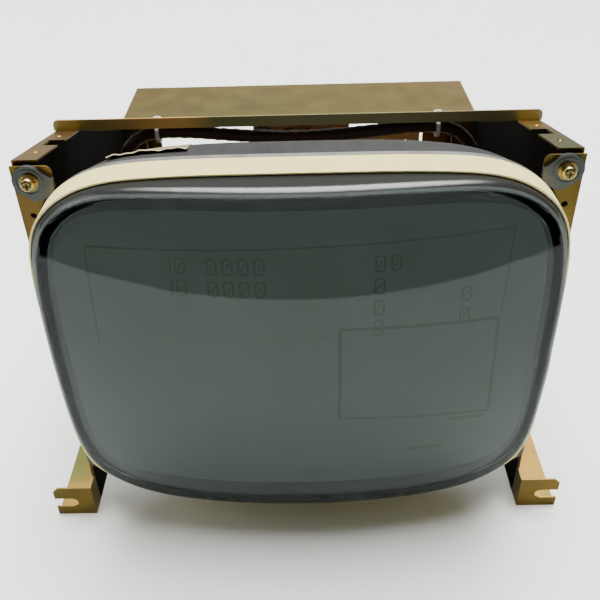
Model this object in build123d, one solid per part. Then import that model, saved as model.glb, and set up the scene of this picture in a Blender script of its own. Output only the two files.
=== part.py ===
"""A 14 inch colour picture tube in its open sheet-steel mounting frame.

Millimetres, +Z up, the screen faces -Y.  Everything is drawn from the frame's mounting
plane (y = 0 on the front flanges); the last step moves it so that the origin is under
the middle of the whole object.
"""
from build123d import *
from math import cos, pi, radians, sin, tan
import os

# ---- driving dimensions -------------------------------------------------------------
AXIS_Z = 168.7            # height of the tube axis above the feet
FACE_Y = -56.0            # middle of the screen, in front of the mounting plane
REAR_Y = 364.0            # back of the rear cover
SHAFT_TIP_Y = 372.0       # ends of the control shafts, the rearmost points

PANEL_W, PANEL_H = 158.8, 128.0   # half width and half height of the front glass
PANEL_POWER = 5.1                 # squareness of the bulged outline
FACE_R = 575.0                    # curve of the outer face
FACE_EDGE_R = 8.0                 # rounding between face and skirt
GLASS_FACE = 12.0                 # thickness in the middle of the face
GLASS_SKIRT = 9.0
SEAL_Y = 5.0                      # joint between front glass and funnel
OUTLINE_POINTS = 32

BAND_T, TAPE_T = 0.7, 0.9
BAND_Y = (-22.5, 3.0)
TAPE_Y = (-23.7, -3.4)

NECK_R, NECK_WALL = 14.55, 1.55
NECK_Y = (180.0, 276.0)
PIN_TIP_Y = 283.0
HORN_Y = 110.0                    # where the funnel starts to be round
HORN_GROWTH, HORN_CURVE = 36.0, 1.7

SHEET = 1.2                       # plated sheet steel
FRAME_W = 165.8                   # half width over the side plates
FRAME_IN = FRAME_W - SHEET
FRAME_TOP = 294.1
FRAME_REAR = 272.0
FLANGE_W = 24.0
FOOT_W = 28.6                     # how far the feet stand out from the side plates
FOOT_X = FRAME_W + FOOT_W
EAR_Y, EAR_H = -12.0, 29.7
LUG_X, LUG_Z = 155.3, 116.4       # fixing screws, from the tube axis
SCREW_HOLE_R = 2.6

FLANGE_FRONT_Y, FLANGE_TOP_Z = 5.3, 295.6
BAR_Y, BAR_Z, BAR_H, BAR_DEPTH = 93.0, 275.3, 7.5, 15.0
BAR_W = 167.0
COVER_TOP = 203.0
TRAY_Z = 3.0                      # underside of the base tray
BOARD_Z = 14.0                    # underside of the main board
BOARD_T = 1.6
PANEL_TOP = 112.0                 # top of the rear connector panel

COIL_Y, COIL_R = 103.0, 4.5
TIE_X = 97.5

# y, half width, half height, squareness and wall of the funnel, front to back
FUNNEL = [
    (SEAL_Y, 157.6, 126.9, 5.0, 8.0),
    (20.0, 154.5, 126.0, 4.7, 5.0),
    (35.0, 147.0, 121.6, 4.2, 4.0),
    (50.0, 134.0, 112.5, 3.7, 3.6),
    (65.0, 115.5, 98.0, 3.2, 3.2),
    (80.0, 93.0, 79.5, 2.8, 3.0),
    (95.0, 70.5, 61.0, 2.4, 2.6),
]
ROUND_SECTIONS = (HORN_Y, 122.0, 134.0, 146.0, 158.0, 169.0, NECK_Y[0])

NECK_AXIS = Axis((0, 0, AXIS_Z), (0, 1, 0))


# ---- shapes used again and again ----------------------------------------------------
def block(x0, x1, y0, y1, z0, z1):
    """A box between six planes."""
    return Pos((x0 + x1) / 2, (y0 + y1) / 2, (z0 + z1) / 2) * Box(x1 - x0, y1 - y0, z1 - z0)


def rod(x, z, y0, y1, radius):
    """A round bar along the depth."""
    return Pos(x, (y0 + y1) / 2, z) * Rot(90, 0, 0) * Cylinder(radius, y1 - y0)


def post(x, y, z0, z1, radius):
    """An upright round bar."""
    return Pos(x, y, (z0 + z1) / 2) * Cylinder(radius, z1 - z0)


def neck_tube_shape(y0, y1, inner, outer):
    return rod(0, AXIS_Z, y0, y1, outer) - rod(0, AXIS_Z, y0 - 1, y1 + 1, inner)


def group(shapes):
    """Separate solids that share one node."""
    return Compound([solid for shape in shapes for solid in shape.solids()])


def side_prism(points, x0, x1):
    """A (y, z) outline pushed from x0 to x1."""
    outline = Polyline([(x0, y, z) for y, z in points], close=True)
    return extrude(make_face(outline), x1 - x0, dir=(1, 0, 0))


def front_prism(points, y0, y1):
    """An (x, z) outline pushed from y0 to y1."""
    outline = Polyline([(x, y0, z) for x, z in points], close=True)
    return extrude(make_face(outline), y1 - y0, dir=(0, 1, 0))


def oval_points(y, half_w, half_h, power):
    points = []
    for index in range(OUTLINE_POINTS):
        turn = 2 * pi * index / OUTLINE_POINTS
        across, up = cos(turn), sin(turn)
        reach = (abs(across / half_w) ** power + abs(up / half_h) ** power) ** (-1 / power)
        points.append((reach * across, y, AXIS_Z + reach * up))
    return points


def oval_face(y, half_w, half_h, power=PANEL_POWER):
    points = [Vector(*p) for p in oval_points(y, half_w, half_h, power)]
    return Face(Wire([Edge.make_spline(points, periodic=True)]))


def oval_prism(y0, y1, half_w, half_h, power=PANEL_POWER):
    return extrude(oval_face(y0, half_w, half_h, power), y1 - y0, dir=(0, 1, 0))


def dome(y, radius):
    """A ball whose frontmost point is at depth y."""
    return Pos(0, y + radius, AXIS_Z) * Sphere(radius)


def horn_radius(y):
    return NECK_R + HORN_GROWTH * ((NECK_Y[0] - y) / (NECK_Y[0] - HORN_Y)) ** HORN_CURVE


def horn(y0, y1, inner, outer, start=0.0, arc=360.0):
    """A shell that follows the funnel's throat, between two distances from its glass."""
    steps = [y0 + (y1 - y0) * i / 4 for i in range(5)]
    low = Spline([(horn_radius(y) + inner, y, AXIS_Z) for y in steps])
    high = Spline([(horn_radius(y) + outer, y, AXIS_Z) for y in steps])
    face = make_face([low, Line(low @ 1, high @ 1), high, Line(high @ 0, low @ 0)])
    return revolve(face, NECK_AXIS, arc).rotate(NECK_AXIS, start)


def about_neck(shape, angle):
    return shape.rotate(NECK_AXIS, angle)


def bend_radius(before, corner, after):
    """The largest comfortable arc at a corner of a wire's route."""
    one, two = corner - before, after - corner
    return 0.45 * min(one.length, two.length) / tan(radians(one.get_angle(two) / 2))


def wire(name, points, radius, closed=False):
    """A round tube of straight runs joined by arcs as large as the runs allow."""
    route = [Vector(*p) for p in points]
    if closed:
        corners = zip([route[-1]] + route[:-1], route, route[1:] + route[:1])
    else:
        corners = zip(route, route[1:], route[2:])
    radii = [bend_radius(*corner) for corner in corners]
    path = FilletPolyline(route, radius=radii, close=closed)
    start = Plane(origin=path @ 0, z_dir=path % 0)
    tube = sweep(start * Circle(radius), path=path)
    full = pi * radius ** 2 * path.length
    print(name, "radii", [round(r, 1) for r in radii], "volume check", round(tube.volume / full, 4))
    return tube


# ---- the tube -----------------------------------------------------------------------
def glass_panel():
    outer = oval_prism(FACE_Y - 5, SEAL_Y, PANEL_W, PANEL_H) & dome(FACE_Y, FACE_R)
    rim = outer.edges().filter_by(lambda e: e.center().Y < SEAL_Y - 1)
    outer = fillet(rim, FACE_EDGE_R)
    hollow = oval_prism(FACE_Y, SEAL_Y + 1, PANEL_W - GLASS_SKIRT, PANEL_H - GLASS_SKIRT)
    return outer - (hollow & dome(FACE_Y + GLASS_FACE, FACE_R))


def curved_sheet(y, thickness, half_w, half_h):
    """A thin sheet with the face's curve."""
    trim = oval_prism(y - 1, SEAL_Y, half_w, half_h)
    return trim & (dome(y, FACE_R) - dome(y + thickness, FACE_R))


def phosphor_screen():
    return curved_sheet(FACE_Y + GLASS_FACE, 0.4, 148.0, 117.2)


MASK_Y = FACE_Y + GLASS_FACE + 10.0
MASK_FRAME_Y = (-13.0, 0.0)


def shadow_mask():
    skirt_w, skirt_h = 139.0, 108.2
    sheet = curved_sheet(MASK_Y, 0.4, skirt_w, skirt_h)
    skirt = oval_prism(MASK_FRAME_Y[0], MASK_FRAME_Y[1] - 3, skirt_w, skirt_h)
    skirt -= oval_prism(MASK_FRAME_Y[0] - 1, MASK_FRAME_Y[1], skirt_w - 0.4, skirt_h - 0.4)
    return sheet + (skirt - dome(MASK_Y - FACE_R, FACE_R))


def mask_frame():
    wall = oval_prism(*MASK_FRAME_Y, 141.0, 110.2) - oval_prism(-20, 5, 139.6, 108.8)
    lip = oval_prism(MASK_FRAME_Y[1] - 1.4, MASK_FRAME_Y[1], 139.6, 108.8)
    return wall + (lip - oval_prism(-20, 5, 128.0, 97.0))


def mask_springs():
    """Four spring arms that hang the mask frame on studs in the skirt."""
    y = MASK_FRAME_Y[0] + 5
    half = 6.0
    gap_side = (141.8, PANEL_W - GLASS_SKIRT - 0.2)
    gap_top = (111.0, PANEL_H - GLASS_SKIRT - 0.2)
    side = block(gap_side[0], gap_side[0] + 1, y - half, y + half, AXIS_Z - 20, AXIS_Z + 20)
    side += Pos(0, y, AXIS_Z) * Rot(0, 90, 0) * Pos(0, 0, sum(gap_side) / 2) * Cylinder(
        2.5, gap_side[1] - gap_side[0])
    top = block(-20, 20, y - half, y + half, AXIS_Z + gap_top[0], AXIS_Z + gap_top[0] + 1)
    top += post(0, y, AXIS_Z + gap_top[0], AXIS_Z + gap_top[1], 2.5)
    low = mirror(top, about=Plane.XY.offset(AXIS_Z))
    return group([side, mirror(side, about=Plane.YZ), top, low])


def inner_shield():
    """Thin magnetic shield inside the funnel."""
    outer = [(2.0, 136.0, 105.0, 5.0), (30.0, 128.0, 100.0, 4.2), (62.0, 92.0, 78.0, 3.0)]
    skin = 0.6
    shell = loft([oval_face(*s) for s in outer])
    return shell - loft([oval_face(y, w - skin, h - skin, n) for y, w, h, n in outer])


def funnel_solid(offset=0.0):
    """The funnel as a full body, or its hollow when offset is 1."""
    sections = [oval_face(y, w - offset * t, h - offset * t, n) for y, w, h, n, t in FUNNEL]
    for y in ROUND_SECTIONS:
        radius = horn_radius(y) - offset * (NECK_WALL + (NECK_Y[0] - y) / 70)
        sections.append(oval_face(y, radius, radius, 2.0))
    return loft(sections)


def neck_tube():
    wall = neck_tube_shape(*NECK_Y, NECK_R - NECK_WALL, NECK_R)
    return wall + rod(0, AXIS_Z, NECK_Y[1] - 3.5, NECK_Y[1], NECK_R)


PIN_CIRCLE, PIN_R, PIN_STEPS = 7.6, 0.55, 11


def pin_places():
    """Ten pins on a circle of eleven, the eleventh left out as the key."""
    for index in range(1, PIN_STEPS):
        turn = 2 * pi * index / PIN_STEPS - pi / 2
        yield PIN_CIRCLE * cos(turn), AXIS_Z + PIN_CIRCLE * sin(turn)


def base_pins():
    return group([rod(x, z, NECK_Y[1], PIN_TIP_Y, PIN_R) for x, z in pin_places()])


GUN_CUPS = [(203, 214), (217, 232), (235, 238), (241, 244), (247, 252)]
GUN_R = 9.4


BEAM_X = (-5.4, 0, 5.4)


def electron_gun():
    """Three beams in line: cathodes, pierced cups and the two glass rods that hold them."""
    parts = []
    for y0, y1 in GUN_CUPS:
        cup = rod(0, AXIS_Z, y0, y1, GUN_R)
        for x in BEAM_X:
            cup -= rod(x, AXIS_Z, y0 - 1, y1 + 1, 2.2)
        parts.append(cup)
    for x in BEAM_X:
        parts.append(rod(x, AXIS_Z, GUN_CUPS[-1][1] - 3, 262, 1.9))
    for side in (-1, 1):
        parts.append(rod(side * 11.1, AXIS_Z, GUN_CUPS[0][0], 262, 1.4))
    return group(parts)


# ---- band, tape and lugs round the front glass --------------------------------------
def rim_band():
    outer = oval_prism(*BAND_Y, PANEL_W + BAND_T, PANEL_H + BAND_T)
    return outer - oval_prism(-30, 10, PANEL_W, PANEL_H)


def band_tape():
    w, h = PANEL_W + BAND_T, PANEL_H + BAND_T
    return oval_prism(*TAPE_Y, w + TAPE_T, h + TAPE_T) - oval_prism(-30, 10, w, h)


def mounting_lugs():
    """Corner plates welded to the band, each with a raised ring round its hole."""
    thickness, eye_r = 2.4, 10.0
    x, z = LUG_X, AXIS_Z + LUG_Z
    eye = rod(x, z, -thickness, 0, eye_r)
    web = front_prism([(x - 2.5, z + 9.7), (x - 14, z + 1.5), (x - 13, z - 8), (x - 2, z - 13),
                       (x + 6, z - 8)], -thickness, 0)
    ring = rod(x, z, -thickness - 0.5, -thickness, 8.2) - rod(x, z, -4, 0, 7.2)
    lug = eye + web + ring - rod(x, z, -5, 5, SCREW_HOLE_R)
    lug -= oval_prism(-10, 10, PANEL_W + BAND_T, PANEL_H + BAND_T)
    low = mirror(lug, about=Plane.XY.offset(AXIS_Z))
    return group([lug, mirror(lug, about=Plane.YZ), low, mirror(low, about=Plane.YZ)])


def corner_places():
    for side in (-1, 1):
        for up in (-1, 1):
            yield side * LUG_X, AXIS_Z + up * LUG_Z


LUG_FRONT = -2.4
WASHER_T, SPRING_T = 1.0, 1.2


def corner_washers():
    """A flat washer and a split spring washer under each corner screw, and the nut behind."""
    stack = []
    for x, z in corner_places():
        flat = rod(x, z, LUG_FRONT - WASHER_T, LUG_FRONT, 5.5)
        spring = rod(x, z, LUG_FRONT - WASHER_T - SPRING_T, LUG_FRONT - WASHER_T, 4.2)
        spring -= block(x, x + 5, -5, -1, z + 0.2, z + 0.9)
        behind = Plane(origin=(x, SHEET, z), x_dir=(1, 0, 0), z_dir=(0, 1, 0))
        nut = extrude(behind * RegularPolygon(4.6, 6), 4)
        stack += [piece - rod(x, z, -9, 9, SCREW_HOLE_R) for piece in (flat, spring, nut)]
    return group(stack)


def pan_screw(x, z, seat_y, length, shank_r=2.5, head_r=4.2, head_h=3.2):
    """A cross-head screw along the depth, its head towards the front."""
    head = rod(x, z, seat_y - head_h, seat_y, head_r)
    head = fillet(head.edges().sort_by(Axis.Y)[0], head_h * 0.55)
    for width, height in ((4.4, 0.9), (0.9, 4.4)):
        head -= Pos(x, seat_y - head_h, z) * Box(width, 2 * 1.8, height)
    return head + rod(x, z, seat_y, seat_y + length, shank_r)


def corner_screws():
    seat = LUG_FRONT - WASHER_T - SPRING_T
    return group([pan_screw(x, z, seat, 14) for x, z in corner_places()])


# ---- anode connection ---------------------------------------------------------------
CAP_PLACE = (126.0, 56.0, AXIS_Z + 18)
CAP_TILT = 43.0


def anode_cap(glass):
    """Rubber suction cap pressed on the funnel's anode button."""
    lean = Pos(*CAP_PLACE) * Rot(0, 0, CAP_TILT) * Rot(0, 90, 0)
    dish = Pos(0, 0, -2) * Cylinder(26, 10)
    dish = chamfer(dish.edges().sort_by(Axis.Z)[-1], 5.5)
    crown = Pos(0, 0, 6) * Cylinder(11, 9)
    crown = fillet(crown.edges().sort_by(Axis.Z)[-1], 3)
    nozzle = Pos(9, 0, 6) * Rot(0, 90, 0) * Cylinder(4.6, 16)
    cap = lean * (dish + crown + nozzle)
    bore = lean * Pos(12, 0, 6) * Rot(0, 90, 0) * Cylinder(3.0, 12)
    return cap - bore - glass


FLYBACK = (72.0, 112.0, 208.0, 250.0)      # x0, x1, y0, y1 of its potted body
FLYBACK_TOP = 92.0
HV_OUTLET = (92.0, 229.0)
LEAD_R = 2.9


def lean_point(along, up):
    """A point given along the cap's nozzle and up its own axis."""
    out = Vector(cos(radians(CAP_TILT)), sin(radians(CAP_TILT)), 0)
    return Vector(*CAP_PLACE) + out * up + Vector(0, 0, -along)


def anode_lead():
    """High-voltage lead from the cap's nozzle, round the yoke, to the transformer's outlet."""
    start = lean_point(6.2, 6)
    x, y = HV_OUTLET
    points = [tuple(start), (start.X, start.Y, start.Z - 22), (138, 78, 140), (146, 104, 124),
              (146, 140, 118), (136, 176, 122), (118, 206, 130), (99, 224, 128), (x, y, 116),
              (x, y, FLYBACK_TOP + 8)]
    return wire("anode lead", points, LEAD_R)


# ---- deflection yoke ----------------------------------------------------------------
YOKE_Y = (122.0, 172.0)
COIL_GAP, LINE_T, FORMER_T, WIND_T, CORE_T = 3.4, 3.6, 2.0, 2.6, 6.5
FORMER_IN = COIL_GAP + LINE_T
CORE_IN = FORMER_IN + FORMER_T + WIND_T + 0.3


LINE_ARC, LINE_STARTS = 156.0, (12.0, 192.0)
LINE_BEND_Y = (YOKE_Y[0] - 9, YOKE_Y[0] - 3)
LINE_BEND_H = 14.0


def sector(y0, y1, reach, start, arc):
    """A slice of a disc about the neck, for cutting other shapes to an angle."""
    low, high = (0, AXIS_Z), (reach, AXIS_Z)
    corners = [(low[0], y0, low[1]), (high[0], y0, high[1]), (high[0], y1, high[1]), (low[0], y1, low[1])]
    return about_neck(revolve(make_face(Polyline(corners, close=True)), NECK_AXIS, arc), start)


def line_coils():
    """Upper and lower saddle coils, each with its turned-up front end."""
    inner = horn_radius(LINE_BEND_Y[0]) + COIL_GAP
    window_arc = 44.0
    coils = []
    for start in LINE_STARTS:
        saddle = horn(YOKE_Y[0] - 3, YOKE_Y[1] + 2, COIL_GAP, FORMER_IN, start, LINE_ARC)
        bend = neck_tube_shape(*LINE_BEND_Y, inner, inner + LINE_BEND_H)
        bend &= sector(YOKE_Y[0] - 10, YOKE_Y[0], 90, start, LINE_ARC)
        window = horn(YOKE_Y[0] + 6, YOKE_Y[1] - 10, COIL_GAP - 1, FORMER_IN + 1,
                      start + (LINE_ARC - window_arc) / 2, window_arc)
        coils.append(saddle + bend - window)
    return group(coils)


def yoke_former():
    """Plastic horn between the two pairs of coils, with a slit sleeve on the neck."""
    body = horn(YOKE_Y[0] - 3, YOKE_Y[1] + 2, FORMER_IN, FORMER_IN + FORMER_T)
    rim_in = horn_radius(YOKE_Y[0] - 3) + FORMER_IN
    rim = neck_tube_shape(YOKE_Y[0] - 3, YOKE_Y[0], rim_in + 1.2, 72)
    back_y = YOKE_Y[1] + 2
    back = neck_tube_shape(back_y, back_y + 2.5, NECK_R + 0.6, 40)
    sleeve = neck_tube_shape(back_y + 2.5, back_y + 16, NECK_R + 0.6, NECK_R + 2.6)
    for turn in range(4):
        slit = block(-1, 1, back_y + 6, back_y + 17, AXIS_Z + NECK_R, AXIS_Z + NECK_R + 4)
        sleeve -= about_neck(slit, 90 * turn + 45)
    return body + rim + back + sleeve


def ferrite_core():
    """Two half rings of ferrite, clipped together."""
    span = 178.8
    return group([horn(YOKE_Y[0] + 6, YOKE_Y[1] - 4, CORE_IN, CORE_IN + CORE_T, start, span)
                  for start in (0.6, 180.6)])


def frame_coils():
    """Toroidal windings on the left and right of the core."""
    coils = []
    span = 124.0
    for middle in (0.0, 180.0):
        start = middle - span / 2
        whole = horn(YOKE_Y[0] + 2.5, YOKE_Y[1] - 0.5, CORE_IN - WIND_T,
                     CORE_IN + CORE_T + WIND_T, start, span)
        core = horn(YOKE_Y[0] + 6, YOKE_Y[1] - 4, CORE_IN, CORE_IN + CORE_T, start - 5, span + 10)
        coils.append(whole - core)
    return group(coils)


def core_clips():
    """Two steel clips across the joints of the core halves."""
    clips = []
    for middle in (90.0, 270.0):
        clips.append(horn(YOKE_Y[0] + 10, YOKE_Y[1] - 10, CORE_IN + CORE_T + 0.3, CORE_IN + CORE_T + 1.3,
                          middle - 11, 22))
    return group(clips)


def yoke_terminals():
    """Small connection board on top of the former's rear flange."""
    y = YOKE_Y[1] + 4.5
    board = block(-19, 19, y, y + 1.6, AXIS_Z + 20, AXIS_Z + 39)
    pegs = [rod(x, AXIS_Z + 33, y + 1.6, y + 9, 0.8) for x in (-13.5, -4.5, 4.5, 13.5)]
    header = block(-15, 15, y + 1.6, y + 8, AXIS_Z + 22.5, AXIS_Z + 28)
    return group([board + header] + pegs)


def yoke_wedges(glass):
    """Three rubber wedges between the funnel and the front of the yoke."""
    inner = horn_radius(HORN_Y)
    wedges = []
    for turn in (30.0, 150.0, 270.0):
        wedge = front_prism([(-9, AXIS_Z + inner - 12), (9, AXIS_Z + inner - 12),
                             (9, AXIS_Z + 66), (-9, AXIS_Z + 66)], YOKE_Y[0] - 20, YOKE_Y[0] - 9)
        wedge -= side_prism([(YOKE_Y[0] - 21, AXIS_Z + 60), (YOKE_Y[0] - 9.1, AXIS_Z + 67),
                             (YOKE_Y[0] - 21, AXIS_Z + 67)], -20, 20)
        wedges.append(about_neck(wedge, turn) - glass)
    return group(wedges)


SLEEVE_CLAMP_Y = (YOKE_Y[1] + 9, YOKE_Y[1] + 16)
RING_SLEEVE_Y = (194.0, 240.0)
RING_SLEEVE_R = 16.5
RING_CLAMP_Y = (232.0, 238.0)


def clamp_band(y0, y1, inner):
    band = neck_tube_shape(y0, y1, inner, inner + 1.2)
    ears = block(-4.5, 4.5, y0, y1, AXIS_Z + inner + 0.6, AXIS_Z + inner + 9)
    gap = block(-1.8, 1.8, y0 - 1, y1 + 1, AXIS_Z + inner - 2, AXIS_Z + inner + 10)
    middle = (y0 + y1) / 2
    hole = Pos(0, middle, AXIS_Z + inner + 5) * Rot(0, 90, 0) * Cylinder(1.7, 30)
    core = rod(0, AXIS_Z, y0 - 1, y1 + 1, inner)
    return band + (ears - core) - gap - hole


def clamp_screw(y0, y1, inner):
    middle, z = (y0 + y1) / 2, AXIS_Z + inner + 5
    shank = Pos(0.5, middle, z) * Rot(0, 90, 0) * Cylinder(1.5, 15)
    head = Pos(-5.6, middle, z) * Rot(0, 90, 0) * Cylinder(2.9, 2.2)
    slot = Pos(-6.7, middle, z) * Box(1.6, 5.8, 0.8)
    nut = Pos(6.0, middle, z) * Box(3.0, 5.4, 5.4)
    return shank + head + nut - slot


CLAMPS = [(*SLEEVE_CLAMP_Y, NECK_R + 2.6), (*RING_CLAMP_Y, RING_SLEEVE_R)]


def neck_clamps():
    """The yoke's and the magnet sleeve's clamp bands, each with its screw and nut."""
    pieces = [make(*clamp) for clamp in CLAMPS for make in (clamp_band, clamp_screw)]
    return group([about_neck(piece, 180) for piece in pieces])


# ---- purity and convergence magnets -------------------------------------------------
RING_Y0, RING_PITCH, RING_T = 200.0, 2.6, 1.9
RING_FIT = 0.08
RING_OUTER = 23.5
LOCK_Y = (216.4, 223.4)


def ring_sleeve():
    sleeve = neck_tube_shape(*RING_SLEEVE_Y, NECK_R + 0.5, RING_SLEEVE_R)
    flange = neck_tube_shape(RING_Y0 - 3.2, RING_Y0 - 0.5, RING_SLEEVE_R - 0.1, RING_OUTER)
    stop = neck_tube_shape(LOCK_Y[1] + 0.4, LOCK_Y[1] + 1.8, RING_SLEEVE_R - 0.1, RING_SLEEVE_R + 1.0)
    sleeve += flange + stop
    for turn in range(4):
        slit = block(-0.8, 0.8, RING_CLAMP_Y[0] - 4, RING_SLEEVE_Y[1] + 1, AXIS_Z + NECK_R, AXIS_Z + 20)
        sleeve -= about_neck(slit, 90 * turn + 45)
    return sleeve


def magnet_ring(index):
    """A thin magnet ring with two finger tabs, free to turn on the sleeve."""
    y0 = RING_Y0 + index * RING_PITCH
    ring = neck_tube_shape(y0, y0 + RING_T, RING_SLEEVE_R + RING_FIT, RING_OUTER)
    tab = block(-2.6, 2.6, y0, y0 + RING_T, AXIS_Z + RING_OUTER - 0.8, AXIS_Z + RING_OUTER + 7)
    pair, partner = divmod(index, 2)
    turn = 34.0 * pair + 17.0 * partner - 40.0
    short = block(-1.8, 1.8, y0, y0 + RING_T, AXIS_Z - RING_OUTER - 3.5, AXIS_Z - RING_OUTER + 0.8)
    return about_neck(ring + tab + short, turn)


def lock_ring():
    """Knurled collar that holds the magnet rings once they are set."""
    ring = neck_tube_shape(*LOCK_Y, RING_SLEEVE_R + RING_FIT, RING_OUTER)
    ribs = 24
    for index in range(ribs):
        groove = rod(0, AXIS_Z + RING_OUTER + 0.5, LOCK_Y[0] + 1.5, LOCK_Y[1] + 1, 1.1)
        ring -= about_neck(groove, 360 * index / ribs)
    return ring


# ---- socket and neck board ----------------------------------------------------------
SOCKET_Y = (276.6, 289.0)
NECK_BOARD = (-106.0, 48.0, 122.0, 165.0)    # x0, x1, z0, z1
NECK_BOARD_TOP = 196.0


def tube_socket():
    body = rod(0, AXIS_Z, *SOCKET_Y, 19.5)
    body += block(-11, 11, *SOCKET_Y, AXIS_Z - 27, AXIS_Z - 12)
    for x, z in pin_places():
        body -= rod(x, z, SOCKET_Y[0] - 1, SOCKET_Y[0] + 8, PIN_R + 0.15)
    return body


def neck_board():
    """Video output board that carries the socket."""
    y0, y1 = SOCKET_Y[1], SOCKET_Y[1] + BOARD_T
    x0, x1, z0, z1 = NECK_BOARD
    wide = block(x0, x1, y0, y1, z0, z1)
    tall = block(-44, 48, y0, y1, z0, NECK_BOARD_TOP)
    return wide + tall


def round_top(x, z, width, y0, y1, height):
    """A flat part with a half-round top, as a dipped film capacitor."""
    radius = width / 2
    middle = z + height - radius
    return block(x - radius, x + radius, y0, y1, z, middle) + rod(x, middle, y0, y1, radius)


OUTPUT_X = (-92.0, -70.0, -48.0)       # one output stage for each colour
NECK_CAN_X = (-30.0, 34.0)


def output_stage(x, y):
    """A transistor standing against its small heat sink, and a tall resistor beside it."""
    transistor = block(x - 5, x + 5, y, y + 4.5, 130, 145.5)
    plate = block(x - 7, x + 7, y + 4.5, y + 5.9, 128, 160)
    return [transistor + plate, post(x + 11, y + 2.6, 134, 146, 2.5)]


def neck_board_parts():
    """Output transistors with their heat sinks, resistors and capacitors."""
    front, back = SOCKET_Y[1], SOCKET_Y[1] + BOARD_T
    parts = []
    for x in OUTPUT_X:
        parts += output_stage(x, back)
    for x in NECK_CAN_X:
        parts.append(rod(x, 130, back, back + 15, 6.2))
    parts.append(round_top(-94, 150, 14, front - 6.5, front, 22.5))
    parts.append(round_top(-34, 176, 12, front - 5, front, 16))
    parts.append(block(-84, -60, front - 8.5, front, 128, 137))
    return group(parts)


# ---- degaussing coil and its ties ---------------------------------------------------
def degauss_coil():
    """Taped bundle of wire, one loop round the funnel, slack between its top ties."""
    half = [(0, 261.8), (44, 264.6), (84, 269.2), (112, 267), (128, 246), (129.5, 196),
            (129.5, 130), (128, 76), (112, 50), (76, 40.8), (30, 39.5)]
    left = [(-x, z) for x, z in reversed(half[1:])]
    points = [(x, COIL_Y, z) for x, z in half + left]
    return wire("degauss coil", points, COIL_R, closed=True)


COIL_TOP_Z, COIL_LOW_Z = 268.3, 40.2     # middle of the coil at its ties and at its clips
HOOP_IN, HOOP_OUT = COIL_R + 1.7, COIL_R + 2.9
LIP_Y, LIP_TOP = 93.0, 30.0
CLIP_X = 53.0


def hoop(x, z, width):
    """A ring round the coil."""
    ring = Cylinder(HOOP_OUT, width) - Cylinder(HOOP_IN, width)
    return Pos(x, COIL_Y, z) * Rot(0, 90, 0) * ring


def bar_tie(x):
    """Nylon tie through a slot of the top bar, with its head and cut tail on the bar."""
    width = 2.6
    top = BAR_Z + SHEET
    loop = hoop(x, COIL_TOP_Z, width) & block(x - 3, x + 3, COIL_Y - 10, COIL_Y + 10, 250, BAR_Z)
    tail = block(x - width / 2, x + width / 2, COIL_Y - 1, COIL_Y + 0.2, top, top + 3.6)
    head = block(x - 2.4, x + 2.4, COIL_Y - 3, COIL_Y + 2.6, top, top + 2.4)
    return [loop, tail + head]


def lip_clip(x):
    """Nylon clip that holds the coil's lowest run on the tray's lip."""
    width = 5.0
    back = LIP_Y + SHEET
    leg = block(x - width / 2, x + width / 2, back, back + 3.2, 18, COIL_LOW_Z - 3)
    return [hoop(x, COIL_LOW_Z, width) + leg]


def cable_ties():
    """Two ties hold the coil under the bar and two clips hold it on the tray's lip."""
    ties = []
    for side in (-1, 1):
        ties += bar_tie(side * TIE_X) + lip_clip(side * CLIP_X)
    return group(ties)


# ---- sheet-metal frame --------------------------------------------------------------
TAB_END = BAR_Y + BAR_DEPTH
SHOULDER_Y = 262.0


def strip(points, x0, x1):
    """Sheet under a line of (y, z) points, between two widths."""
    under = [(y, z - SHEET) for y, z in reversed(points)]
    return side_prism(points + under, x0, x1)


def side_plate():
    outline = [(EAR_Y, 0), (FRAME_REAR, 0), (FRAME_REAR, COVER_TOP), (SHOULDER_Y, COVER_TOP),
               (TAB_END, BAR_Z - 4), (TAB_END, BAR_Z), (BAR_Y, BAR_Z), (FLANGE_FRONT_Y, FLANGE_TOP_Z),
               (FLANGE_FRONT_Y, FRAME_TOP - 2), (0, FRAME_TOP - 2), (0, EAR_H), (EAR_Y, EAR_H)]
    return side_prism(outline, FRAME_IN, FRAME_W)


def front_flange():
    """Inward flange with the fixing holes, cut back to clear the tube."""
    inner = FRAME_W - FLANGE_W
    low = 43.6
    flange = block(inner, FRAME_W, 0, SHEET, low, FRAME_TOP)
    flange = fillet(flange.edges().filter_by(Axis.Y).group_by(Axis.X)[0], 4)
    flange -= block(FRAME_W - 7.2, FRAME_W + 1, -1, 2, low - 1, 51.7)
    flange -= oval_prism(-5, 5, PANEL_W + 2.4, PANEL_H + 2.4)
    for up in (-1, 1):
        flange -= rod(LUG_X, AXIS_Z + up * LUG_Z, -5, 5, SCREW_HOLE_R + 0.1)
    return flange - rod(FRAME_W - 7.3, FRAME_TOP - 32.5, -5, 5, 2.0)


def top_flange():
    notch = (46.0, 62.0)
    wide, narrow = 15.0, 5.0
    flange = strip([(FLANGE_FRONT_Y, FLANGE_TOP_Z), (BAR_Y, BAR_Z), (TAB_END, BAR_Z)],
                   FRAME_W - wide, FRAME_W)
    flange -= block(FRAME_W - wide - 1, FRAME_W - narrow, *notch, 260, 300)
    flange -= Pos(FRAME_W - wide / 2, TAB_END - 7, BAR_Z) * Cylinder(1.7, 20)
    return flange


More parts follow.
